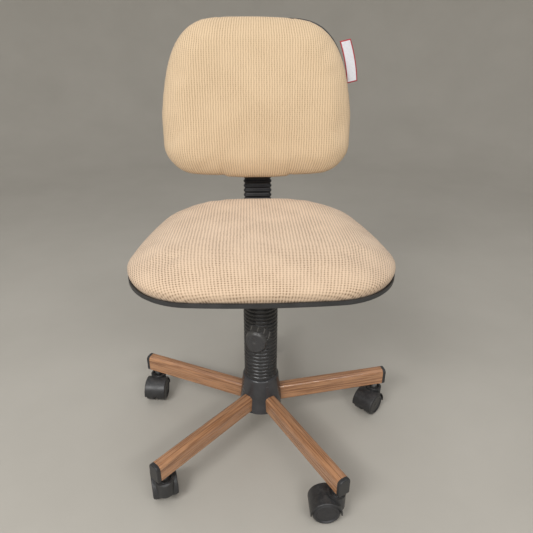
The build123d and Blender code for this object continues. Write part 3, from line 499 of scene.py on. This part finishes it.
def plated_steel():
    """Zinc-plated steel with fine turning marks and dull patches."""
    made, tree, shader = new_material("plated_steel", 0.35, 1.0)
    vector = own_place(tree)
    marks = noise(tree, stretched(tree, vector, (60.0, 60.0, 2400.0)), 1.0)
    dull = noise(tree, vector, 60.0, 3.0)
    join(tree, blend_colour(tree, dull, STEEL_DARK, STEEL_PALE), shader.inputs["Base Color"])
    join(tree, spread(tree, dull, 0.3, 0.7, 0.28, 0.48), shader.inputs["Roughness"])
    bump(tree, shader, marks, STEEL_MARK_DEPTH)
    return made


def powder_coat():
    """Black powder coat with a fine orange-peel skin and paler scuffs."""
    made, tree, shader = new_material("powder_coat", 0.42)
    vector = own_place(tree)
    scuff = spread(tree, noise(tree, vector, 40.0, 5.0, 0.7), 0.6, 0.8)
    join(tree, blend_colour(tree, scuff, COAT_BLACK, COAT_SCUFF), shader.inputs["Base Color"])
    join(tree, spread(tree, scuff, 0.0, 1.0, 0.38, 0.55), shader.inputs["Roughness"])
    bump(tree, shader, noise(tree, vector, 700.0), COAT_PEEL_DEPTH)
    return made


def plywood():
    """Plywood boards: pale plies in thin layers with fibre streaks."""
    made, tree, shader = new_material("plywood", 0.75)
    fibre = stretched(tree, own_place(tree), (8.0, 160.0, 420.0))
    streak = noise(tree, fibre, 1.0, 4.0, 0.6)
    join(tree, blend_colour(tree, streak, PLY_DARK, PLY_PALE), shader.inputs["Base Color"])
    bump(tree, shader, streak, PLY_FIBRE_DEPTH)
    return made


def label_cloth():
    """White woven tape with a plain red border, on its own map in metres from the label's middle."""
    made, tree, shader = new_material("label_cloth", 0.85)
    vector = cloth_place(tree)
    place = parts_of(tree, vector)
    side = calc(tree, "SUBTRACT", LABEL_SIZE[0] / 2, calc(tree, "ABSOLUTE", place[0]))
    end = calc(tree, "SUBTRACT", LABEL_SIZE[1] / 2, calc(tree, "ABSOLUTE", place[1]))
    border = spread(tree, calc(tree, "MINIMUM", side, end), LABEL_BORDER[0], LABEL_BORDER[1], 1.0, 0.0)
    threads = node(tree, "ShaderNodeTexWave", {"Vector": vector, "Scale": 420.0}, bands_direction="DIAGONAL")
    white = blend_colour(tree, noise(tree, vector, 220.0), LABEL_GREY, LABEL_WHITE)
    join(tree, blend_colour(tree, border, white, LABEL_RED), shader.inputs["Base Color"])
    bump(tree, shader, threads.outputs["Fac"], LABEL_THREAD_DEPTH)
    return made


def floor_paint():
    """Plain pale floor with faint slow mottling."""
    made, tree, shader = new_material("floor_paint", 0.8)
    mottle = noise(tree, own_place(tree), 3.0, 6.0, 0.6)
    join(tree, blend_colour(tree, mottle, FLOOR_DARK, FLOOR_PALE), shader.inputs["Base Color"])
    return made


def mesh_points(obj):
    """Corners of an object's mesh as an array of rows."""
    points = np.empty(len(obj.data.vertices) * 3)
    obj.data.vertices.foreach_get("co", points)
    return points.reshape(-1, 3)


def node_points(name):
    """Corners of a CAD node's mesh as an array of rows."""
    return mesh_points(frame["nodes"][name])


def mesh_normals(obj):
    """Normals at the corners of an object's mesh as an array of rows."""
    normals = np.empty(len(obj.data.vertices) * 3)
    obj.data.vertex_normals.foreach_get("vector", normals)
    return normals.reshape(-1, 3)


def set_points(obj, points):
    """Moves an object's corners."""
    obj.data.vertices.foreach_set("co", points.ravel())
    obj.data.update()


def set_cloth_map(obj, flat):
    """Gives an object the map called cloth, from a flat place in metres for each corner."""
    layer = obj.data.uv_layers.new(name="cloth")
    corner = np.empty(len(obj.data.loops), dtype=np.int64)
    obj.data.loops.foreach_get("vertex_index", corner)
    layer.data.foreach_set("uv", flat[corner].astype(np.float32).ravel())


def set_share(obj, name, shares):
    """Stores a share for each corner of an object under a name."""
    layer = obj.data.attributes.new(name, "FLOAT", "POINT")
    layer.data.foreach_set("value", shares.astype(np.float32).ravel())


def smooth(obj):
    """Shades an object smoothly."""
    obj.data.polygons.foreach_set("use_smooth", np.ones(len(obj.data.polygons), dtype=bool))


def with_modifier(obj):
    """Replaces an object's mesh by what its modifiers make of it."""
    seen = obj.evaluated_get(bpy.context.evaluated_depsgraph_get())
    made = bpy.data.meshes.new_from_object(seen)
    obj.modifiers.clear()
    old, obj.data = obj.data, made
    bpy.data.meshes.remove(old)


def subdivide(obj):
    """Adds one live subdivision."""
    finer = obj.modifiers.new("finer", "SUBSURF")
    finer.levels = finer.render_levels = 1


def grid_faces(rows, columns, wrap_columns):
    """Quads between neighbours of a grid of points, wrapped round the columns where asked."""
    strips = columns if wrap_columns else columns - 1
    row, column = np.meshgrid(np.arange(rows - 1), np.arange(strips), indexing="ij")
    near, beside = row * columns + column, row * columns + (column + 1) % columns
    return np.stack([near, beside, beside + columns, near + columns], axis=-1).reshape(-1, 4)


def grid_object(name, points, wrap_columns=False, close_ends=False):
    """Object from a grid of points, with the first and last rows closed by fans where asked."""
    rows, columns = points.shape[:2]
    corners = points.reshape(-1, 3)
    faces = [tuple(face) for face in grid_faces(rows, columns, wrap_columns).tolist()]
    if close_ends:
        ends = np.stack([points[0].mean(axis=0), points[-1].mean(axis=0)])
        first, last = len(corners), len(corners) + 1
        corners = np.concatenate([corners, ends])
        base = (rows - 1) * columns
        sides = [(column, (column + 1) % columns) for column in range(columns)]
        faces += [(first, b, a) for a, b in sides] + [(last, base + a, base + b) for a, b in sides]
    mesh = bpy.data.meshes.new(name)
    mesh.from_pydata(corners.tolist(), [], faces)
    mesh.validate()
    made = bpy.data.objects.new(name, mesh)
    bpy.context.collection.objects.link(made)
    return made


def full_turn(count):
    """Angles in even steps round a full turn."""
    return np.linspace(0, 2 * np.pi, count, endpoint=False)


def ramp(distance, width):
    """Share that grows with a distance from 0 to 1 over a width."""
    return np.clip(distance / width, 0, 1)


def supports(points, sides):
    """Furthest that any of some flat points lies along each direction."""
    return (points @ np.stack([np.cos(sides), np.sin(sides)])).max(axis=0)


def reach_round(points, turns, insets):
    """Reach of a convex outline from the origin in each direction, drawn in all round by each inset.

    The outline's support in a direction is the furthest any point lies along it. The reach in a
    direction is the least of every support, less the inset, over the cosine of the angle between.
    """
    sides = full_turn(OUTLINE_SIDES)
    support = supports(points, sides)
    lean = np.cos(turns[None, :] - sides[:, None])
    over = np.where(lean > OUTLINE_LEAN, 1 / np.maximum(lean, OUTLINE_LEAN), np.inf)
    return np.stack([((support - inset)[:, None] * over).min(axis=0) for inset in insets])


def outline_gap(goal, points):
    """Mean distance by which flat points fall short of the outline of others, over all directions."""
    sides = full_turn(GAP_SIDES)
    return (supports(goal, sides) - supports(points, sides)).mean()


def spread_flat(out, fallen):
    """Flat place on the cloth: straight out from the middle, longer by a share of the fall over the edge."""
    length = np.maximum(np.linalg.norm(out, axis=1), CLOTH_MIDDLE)
    return out * (1 + CLOTH_FALL * np.maximum(fallen, 0.0) / length)[:, None]


def pad_rows(waist, thick, shoulder, foot, dome, skirt):
    """Rows of a pad from the middle of its face to its foot: share of the row's outline, inset and height.

    Within the face a low dome falls away by the square of one less the share squared. Over the
    shoulder the inset is one less a cosine and the height a sine. Below the waist the side draws
    in by the square of the drop, a skirt hangs straight down from it, and the foot is flat.
    """
    share = np.array(PAD_FACE_SHARES)
    angle = np.linspace(np.pi / 2, 0, PAD_SHOULDER_ROWS)
    drop = np.linspace(0, 1, PAD_SIDE_ROWS + 1)[1:]
    under = np.array(PAD_FOOT_SHARES)
    shares = np.concatenate([share, np.ones(len(angle) + len(drop)), under])
    insets = np.concatenate([np.full(len(share), shoulder), shoulder * (1 - np.cos(angle)), foot * drop ** 2,
                             np.full(len(under), foot)])
    heights = np.concatenate([thick + dome * (1 - share ** 2) ** 2, waist + (thick - waist) * np.sin(angle),
                              waist * (1 - drop), np.full(len(under), -skirt)])
    return shares, insets, heights


def puff(obj, held, swell):
    """Remeshes a pad and blows it up as cloth, with some corners held and no corner moving past the swell.

    held takes the corners and says which of them are pinned.
    """
    remesh = obj.modifiers.new("even", "REMESH")
    remesh.mode = "VOXEL"
    remesh.voxel_size = PAD_VOXEL
    with_modifier(obj)
    start = mesh_points(obj)
    pins = obj.vertex_groups.new(name="pins")
    pins.add(np.flatnonzero(held(start)).tolist(), 1.0, "REPLACE")
    cloth = obj.modifiers.new("cover", "CLOTH")
    cloth.settings.use_pressure = True
    cloth.settings.uniform_pressure_force = PAD_PRESSURE
    cloth.settings.effector_weights.gravity = 0.0
    cloth.settings.vertex_group_mass = pins.name
    cloth.point_cache.frame_start, cloth.point_cache.frame_end = 1, PAD_FRAMES
    for step in range(1, PAD_FRAMES + 1):
        bpy.context.scene.frame_set(step)
    with_modifier(obj)
    moved = mesh_points(obj) - start
    length = np.linalg.norm(moved, axis=1, keepdims=True)
    set_points(obj, start + moved * np.minimum(1.0, swell / np.maximum(length, LEAST_MOVE)))
    bpy.context.scene.frame_set(1)


def soften_pad(obj):
    """Relaxes the voxel steps of a pad and shades it smoothly."""
    soften = obj.modifiers.new("soften", "SMOOTH")
    soften.factor, soften.iterations = PAD_SOFTNESS, PAD_SOFTENING
    with_modifier(obj)
    smooth(obj)


def seat_pad():
    """Crowned seat pad, blown up from a slightly smaller shape.

    Each row is the cushion's outline, drawn in by the row's inset and scaled by its share, at the
    row's height. The skirt hangs inside the tray and isn't drawn in for the swell, because it is
    held while the rest swells. What softening takes off is put back along the normals, above the
    skirt.
    """
    low, high = (np.array(corner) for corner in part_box("seat_cushion"))
    middle = (low + high) / 2
    turns = full_turn(PAD_COLUMNS)
    shares, insets, heights = pad_rows(SEAT_WAIST, high[2] - low[2] - SEAT_SWELL, SEAT_SHOULDER, SEAT_FOOT,
                                       SEAT_DOME, SEAT_SKIRT)
    insets = insets + SEAT_SWELL * ramp(heights, SEAT_WAIST)
    solid = node_points("seat_cushion")
    reach = reach_round(solid[:, :2] - middle[:2], turns, insets) * shares[:, None]
    grid = np.stack([middle[0] + np.cos(turns) * reach, middle[1] + np.sin(turns) * reach,
                     low[2] + heights[:, None] + 0 * reach], axis=-1)
    made = grid_object("seat_pad", grid[::-1], wrap_columns=True, close_ends=True)
    puff(made, lambda at: at[:, 2] < low[2] + PAD_HELD, SEAT_SWELL)
    soften_pad(made)
    at = mesh_points(made)
    lost = outline_gap(solid[:, :2], at[:, :2])
    free = ramp(at[:, 2] - low[2], SEAT_WAIST)[:, None]
    at = at + free * mesh_normals(made) * (lost, lost, high[2] - at[:, 2].max())
    set_points(made, at)
    set_cloth_map(made, spread_flat(at[:, :2] - middle[:2], high[2] - at[:, 2]))
    subdivide(made)
    return made


def upright_axes():
    """Origin and axes of the leaning upright: a point on the back's clamp, and across, forward and up."""
    origin = np.array(JOINTS["height_clamp_turn"]["pos_m"])
    up = np.array(JOINTS["back_height"]["axis"], dtype=float)
    across = np.array([1.0, 0.0, 0.0])
    return origin, np.stack([across, np.cross(across, up), up])


def bend_forward(x):
    """How far the back's curve, an arc of a circle, comes forward at a distance from its middle."""
    return BACK_CURVE - np.sqrt(BACK_CURVE ** 2 - x ** 2)


def tightened(local, middle, half):
    """Moves the back pad a little aside and draws its cover in at one upper corner.

    The corner draws in by a bell of the angle round the pad's middle, times the distance from
    the middle over half the height, to the fourth power.
    """
    out = local[:, [0, 2]] - (0, middle)
    far = np.linalg.norm(out, axis=1)
    angle = np.degrees(np.arctan2(out[:, 1], out[:, 0]))
    draw = TIGHT_DEPTH * np.exp(-((angle - TIGHT_ANGLE) / TIGHT_SPREAD) ** 2)
    draw = draw * np.minimum(far / half, 1.0) ** 4
    local[:, [0, 2]] -= out * (draw / np.maximum(far, TIGHT_MIDDLE))[:, None]
    local[:, 0] += BACK_ASIDE
    return local


def pleated(local, normal, rise, half):
    """Presses two soft upright creases into the back pad and lets the panel between them hang lower.

    A crease is a bell across the back, faint in the middle and deeper at the upper and lower
    edges by the fourth power of the rise. The panel drops by a step at each crease that fades
    above the lower edge.
    """
    edge = np.where(rise > 0, CREASE_TOP, 1.0)
    depth = CREASE_DEPTH * (CREASE_FAINT + (edge - CREASE_FAINT) * rise ** 4)
    for crease in CREASES:
        bell = np.exp(-((local[:, 0] - crease) / CREASE_WIDTH) ** 2)
        local = local - normal * (depth * bell)[:, None]
    steps = [np.tanh((local[:, 0] - crease) / PANEL_EDGE) for crease in CREASES]
    hanging = 0.5 * (steps[0] - steps[1]) * np.clip(1 - (rise + 1) * half / PANEL_REACH, 0, 1)
    local[:, 2] -= PANEL_DROP * hanging
    return local


def back_pad():
    """Curved back pad on the cushion's outline, in the upright's axes.

    Each row is the cushion's outline, drawn in by the row's inset and scaled by its share, and
    stands forward of the pad's rear by the row's height. Everything bends forward with the back's
    curve. What softening takes off is put back along the normals.
    """
    origin, axes = upright_axes()
    solid = (node_points("back_cushion") - origin) @ axes.T
    middle = (solid[:, 2].max() + solid[:, 2].min()) / 2
    half = (solid[:, 2].max() - solid[:, 2].min()) / 2
    rear = solid[np.abs(solid[:, 0]) < BACK_SPINE, 1].min()
    turns = full_turn(PAD_COLUMNS)
    shares, insets, heights = pad_rows(BACK_WAIST, BACK_THICK - BACK_SWELL, BACK_SHOULDER, BACK_FOOT,
                                       BACK_DOME, 0.0)
    reach = reach_round(solid[:, [0, 2]] - (0, middle), turns, insets + BACK_SWELL) * shares[:, None]
    x = np.cos(turns) * reach
    grid = np.stack([x, rear + heights[:, None] + bend_forward(x), middle + np.sin(turns) * reach], axis=-1)
    made = grid_object("back_pad", grid[::-1] @ axes + origin, wrap_columns=True, close_ends=True)

    def standing(at):
        local = (at - origin) @ axes.T
        return local, local[:, 1] - rear - bend_forward(local[:, 0])

    puff(made, lambda at: standing(at)[1] < PAD_HELD, BACK_SWELL)
    soften_pad(made)
    local, depth = standing(mesh_points(made))
    normal = mesh_normals(made) @ axes.T
    lost = outline_gap(solid[:, [0, 2]], local[:, [0, 2]])
    free = ramp(depth, BACK_WAIST)[:, None]
    local = local + free * normal * (lost, BACK_THICK + BACK_DOME - depth.max(), lost)
    local = tightened(local, middle, half)
    local = pleated(local, normal, (local[:, 2] - middle) / half, half)
    set_points(made, local @ axes + origin)
    set_cloth_map(made, spread_flat(local[:, [0, 2]] - (0, middle), BACK_THICK + BACK_DOME - depth))
    subdivide(made)
    return made


def badge_forms(aside, above):
    """Shares of the forms at the badge, from the distance aside and above its middle.

    The ribs are plain near the disc and on the flutes' ring, which lies between two distances on
    the upper half and between two sides. A flute is the top of a cosine of the distance aside,
    slanted by the distance above. The disc falls off over its bevel, the boss is a bell, and
    wear_and_highlight is the largest of the flutes' wear and the painted highlights on the upper
    half of the bevel and on the boss, by their own shares.
    """
    away = np.hypot(aside, above)
    ring = 1.0
    for inside in (away - FLUTE_RING[0], FLUTE_RING[1] - away, above,
                   aside - FLUTE_SIDES[0], FLUTE_SIDES[1] - aside):
        ring = ring * ramp(inside, FLUTE_END)
    plain = np.maximum(1 - ramp(away - BADGE_RADIUS - BADGE_CLEAR, BADGE_CLEAR), ring)
    phase = 2 * np.pi * (aside - FLUTE_SLANT * above - FLUTE_START) / FLUTE_PITCH
    flute = ring * ramp(np.cos(phase) - FLUTE_SHARP, 1 - FLUTE_SHARP)
    disc = np.clip((BADGE_RADIUS - away) / BEVEL_WIDTH + 0.5, 0, 1)
    boss = np.exp(-(away / BOSS_RADIUS) ** 2)
    # Painted highlight on the upper half of the bevel and on the boss; the flutes get wear
    bevel = np.clip(1 - np.abs(away - BADGE_RADIUS) / BEVEL_WIDTH, 0, 1) * ramp(above, BADGE_RADIUS)
    wear_and_highlight = np.maximum(FLUTE_WORN * flute, np.maximum(BEVEL_HIGHLIGHT * bevel, BOSS_HIGHLIGHT * boss))
    return plain, flute, disc, boss, wear_and_highlight


def tube_rows(rows):
    """Rows of a tube's outside, then its last and first rows for the bore, and the first row to close it."""
    return np.concatenate([rows, rows[[-1, 0]], rows[:1]])


def boot():
    """Ribbed boot as one surface round the column: the reach is a function of the height and the turn.

    Ribs are a root of a sine's size, with broad crests and narrow valleys. They fade out round a
    raised disc with a bevel and a small boss, and short slanted flutes stand on a ring about the
    disc's upper half. The attribute called plate marks the disc, and wear_and_highlight marks wear
    on the flutes and a painted highlight on the boss and the upper half of the bevel.
    """
    low, high = (np.array(corner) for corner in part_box("column_boot"))
    length = high[2] - low[2]
    rise = np.linspace(-TUCKED_IN, length + TUCKED_IN, BOOT_ROWS)[:, None]
    turn = full_turn(BOOT_COLUMNS)[None]
    aim = np.radians(-90 - BADGE_TURN)
    aside = ((turn - aim + np.pi) % (2 * np.pi) - np.pi) * BOOT_CREST
    plain, flute, disc, boss, wear_and_highlight = badge_forms(aside, rise - BADGE_RISE)
    rib = np.abs(np.sin(np.pi * (rise - BOOT_END) / BOOT_PITCH)) ** BOOT_ROUND
    rib = rib + (BOOT_PLAIN - rib) * plain
    ends = np.minimum(rise, length - rise) + 0 * turn
    rib = np.where(ends < BOOT_END / 2, 1.0, rib)
    rib = np.where(ends < 0, BOOT_PLAIN, rib)
    reach = BOOT_VALLEY + (BOOT_CREST - BOOT_VALLEY) * rib + FLUTE_DEPTH * flute
    plate = BOOT_CREST + BADGE_PROUD + BOSS_PROUD * boss
    reach = reach * (1 - disc) + plate * disc
    outer = np.stack([reach * np.cos(turn), reach * np.sin(turn), low[2] + rise + 0 * turn], axis=-1)
    loop = tube_rows(outer)
    bore = loop[-3:-1, :, :2]
    bore *= (BOOT_VALLEY - BOOT_WALL) / np.linalg.norm(bore, axis=-1, keepdims=True)
    made = grid_object("ribbed_boot", loop, wrap_columns=True)
    set_share(made, "plate", tube_rows(disc))
    set_share(made, "wear_and_highlight", tube_rows(wear_and_highlight))
    smooth(made)
    return made, low, high


def sleeve():
    """Ribbed flat sleeve on the upright.

    Each row is a squared ellipse, an ellipse of a higher power. Its half width and half depth dip
    at each rib by a power of a cosine's size along the length.
    """
    origin, axes = upright_axes()
    solid = (node_points("upright_sleeve") - origin) @ axes.T
    low, high = solid[:, 2].min(), solid[:, 2].max()
    rise = np.linspace(0, 1, SLEEVE_RIB_ROWS * SLEEVE_RIBS + 1)[:, None]
    turn = full_turn(SLEEVE_COLUMNS)[None]
    rib = np.abs(np.cos(np.pi * SLEEVE_RIBS * rise)) ** SLEEVE_ROUND
    tucked = np.where((rise == 0) | (rise == 1), TUCKED_IN, 0.0) * np.sign(rise - 0.5)
    wide = SLEEVE_HALF_WIDTH - SLEEVE_RIB_DEPTH * rib
    deep = SLEEVE_HALF_DEPTH - SLEEVE_RIB_DEPTH * rib
    powers = np.abs(np.cos(turn)) ** SLEEVE_SQUARENESS + np.abs(np.sin(turn)) ** SLEEVE_SQUARENESS
    square = powers ** (-1 / SLEEVE_SQUARENESS)
    x, y = wide * square * np.cos(turn), -deep * square * np.sin(turn)
    z = low + (high - low) * rise + tucked + 0 * turn
    loop = tube_rows(np.stack([x, y, z], axis=-1))
    loop[-3:-1, :, :2] *= SLEEVE_BORE
    made = grid_object("ribbed_sleeve", loop @ axes + origin, wrap_columns=True)
    smooth(made)
    return made, origin + axes[2] * low, origin + axes[2] * high


def edge_label():
    """Cloth label: a flat strip that leans with the back's edge.

    It bows aside by one less the square of the place along it, and curls back by the square of
    the place across it.
    """
    low, high = (np.array(corner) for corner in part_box("back_label"))
    axes = upright_axes()[1]
    spans = [np.linspace(-0.5, 0.5, count) * size for count, size in zip(LABEL_GRID, LABEL_SIZE)]
    wide, long = np.meshgrid(*spans)
    lean = math.radians(LABEL_LEAN)
    curl = LABEL_CURL * ((wide / LABEL_SIZE[0] + 0.5) ** 2)
    aside = wide + LABEL_BOW * (1 - (2 * long / LABEL_SIZE[1]) ** 2)
    x = aside * math.cos(lean) - long * math.sin(lean)
    z = aside * math.sin(lean) + long * math.cos(lean)
    grid = np.stack([x, -curl, z], axis=-1) @ axes + (low + high) / 2
    made = grid_object("edge_label", grid)
    set_cloth_map(made, np.stack([wide.ravel(), long.ravel()], axis=-1))
    smooth(made)
    thick = made.modifiers.new("cloth", "SOLIDIFY")
    thick.thickness, thick.offset = LABEL_THICK, 0.0
    return made


def paint(names, material):
    """Gives CAD nodes one material."""
    for name in names:
        slots = frame["nodes"][name].data.materials
        slots.clear()
        slots.append(material)


def numbered(pattern):
    """Names made from a pattern and the number of each arm."""
    return [pattern.format(number) for number in range(1, ARMS + 1)]


def paint_nodes(moulding):
    """Materials of the rigid nodes that show as they are."""
    wheels = numbered("caster_wheel_{}_a") + numbered("caster_wheel_{}_b")
    paint(["arm_end_caps", "lever_handle", "depth_knob", "height_knob", "boot_top_ring", "back_carriage",
           "bar_guide", "seat_shell", "back_shell"], moulded("black_moulding", moulding))
    paint(["hub_cover"], moulded("hub_moulding", moulding))
    paint(numbered("caster_hood_{}"), moulded("hood_moulding", moulding))
    paint(wheels + ["gas_guide_bush"], moulded("wheel_nylon", moulding))
    paint(["gas_piston_rod", "gas_thrust_bearing", "gas_cylinder", "gas_release_pin", "lever_pin",
           "pivot_pin", "seat_screws", "back_screws", "caster_sockets"] + numbered("caster_pins_{}"),
          plated_steel())
    paint(["hub_sleeve", "gas_outer_tube", "seat_mechanism", "release_lever", "back_bar",
           "pivot_bracket"], powder_coat())
    paint(["seat_pan", "back_pan"], plywood())
    grain = wood_group()
    for number, name in enumerate(numbered("base_arm_{}"), 1):
        stem = JOINTS[f"caster_swivel_{number}"]["pos_m"]
        paint([name], wood_foil(f"wood_foil_{number}", grain, math.atan2(stem[1], stem[0])))


def dress(obj, material, node_name):
    """Gives a new piece its material, and hides the CAD node that it stands in for."""
    obj.data.materials.clear()
    obj.data.materials.append(material)
    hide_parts(node_name)


def soft_pieces(moulding):
    """Pads, label, boot and sleeve, each on its body or across its joint."""
    weave = weave_group()
    seat = seat_pad()
    dress(seat, cover_cloth("seat_cloth", weave), "seat_cushion")
    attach(seat, "seat")
    back = back_pad()
    dress(back, cover_cloth("back_cloth", weave), "back_cushion")
    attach(back, "back")
    label = edge_label()
    dress(label, label_cloth(), "back_label")
    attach(label, "back")
    column, low, high = boot()
    dress(column, moulded("boot_rubber", moulding, BOOT_MARKS), "column_boot")
    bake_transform(column)
    upright, foot, head = sleeve()
    dress(upright, moulded("sleeve_rubber", moulding), "upright_sleeve")
    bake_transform(upright)


def sweep_floor():
    """Plain pale floor that sweeps up into a wall all round.

    It is a profile turned about the column's axis: flat, then a quarter circle, then straight up.
    """
    turn = full_turn(FLOOR_COLUMNS)
    bend = np.linspace(0, np.pi / 2, SWEEP_ROWS)[1:]
    out = np.concatenate([np.linspace(0, 1, FLOOR_ROWS) * FLOOR_REACH, FLOOR_REACH + SWEEP * np.sin(bend),
                          [FLOOR_REACH + SWEEP]])[:, None]
    up = np.concatenate([np.zeros(FLOOR_ROWS), SWEEP * (1 - np.cos(bend)), [WALL_TOP]])[:, None]
    sweep = np.stack([out * np.cos(turn), out * np.sin(turn), up + 0 * turn], axis=-1)
    floor = grid_object("floor", sweep, wrap_columns=True)
    smooth(floor)
    floor.data.materials.append(floor_paint())


def area_light(name, place, aim, size, power):
    """Area lamp of a width and a height at a place, turned to an aim."""
    lamp = bpy.data.lights.new(name, "AREA")
    lamp.shape = "RECTANGLE"
    lamp.size, lamp.size_y = size
    lamp.energy = power
    made = bpy.data.objects.new(name, lamp)
    turn = (Vector(aim) - Vector(place)).to_track_quat("-Z", "Y")
    made.matrix_world = Matrix.Translation(place) @ turn.to_matrix().to_4x4()
    bpy.context.collection.objects.link(made)


def lights():
    """Soft lamps and an even sky, shown with the standard view."""
    for lamp in LAMPS:
        area_light(*lamp)
    world = bpy.data.worlds.new("sky")
    world.use_nodes = True
    sky = world.node_tree.nodes["Background"].inputs
    sky["Color"].default_value = SKY_COLOUR
    sky["Strength"].default_value = SKY_STRENGTH
    bpy.context.scene.world = world
    bpy.context.scene.view_settings.view_transform = "Standard"


def camera():
    """Camera at the photograph's place, turned right, down and rolled."""
    lens = bpy.data.cameras.new("camera")
    lens.lens, lens.sensor_width = LENS_MM, SENSOR_MM
    made = bpy.data.objects.new("camera", lens)
    right = Matrix.Rotation(math.radians(-YAW_RIGHT), 4, "Z")
    down = Matrix.Rotation(math.radians(90 - PITCH_DOWN), 4, "X")
    roll = Matrix.Rotation(math.radians(ROLL), 4, "Z")
    turn = right @ down @ roll
    made.matrix_world = Matrix.Translation(EYE) @ turn
    bpy.context.collection.objects.link(made)
    bpy.context.scene.camera = made


moulding = moulding_group()
paint_nodes(moulding)
soft_pieces(moulding)
sweep_floor()
lights()
camera()
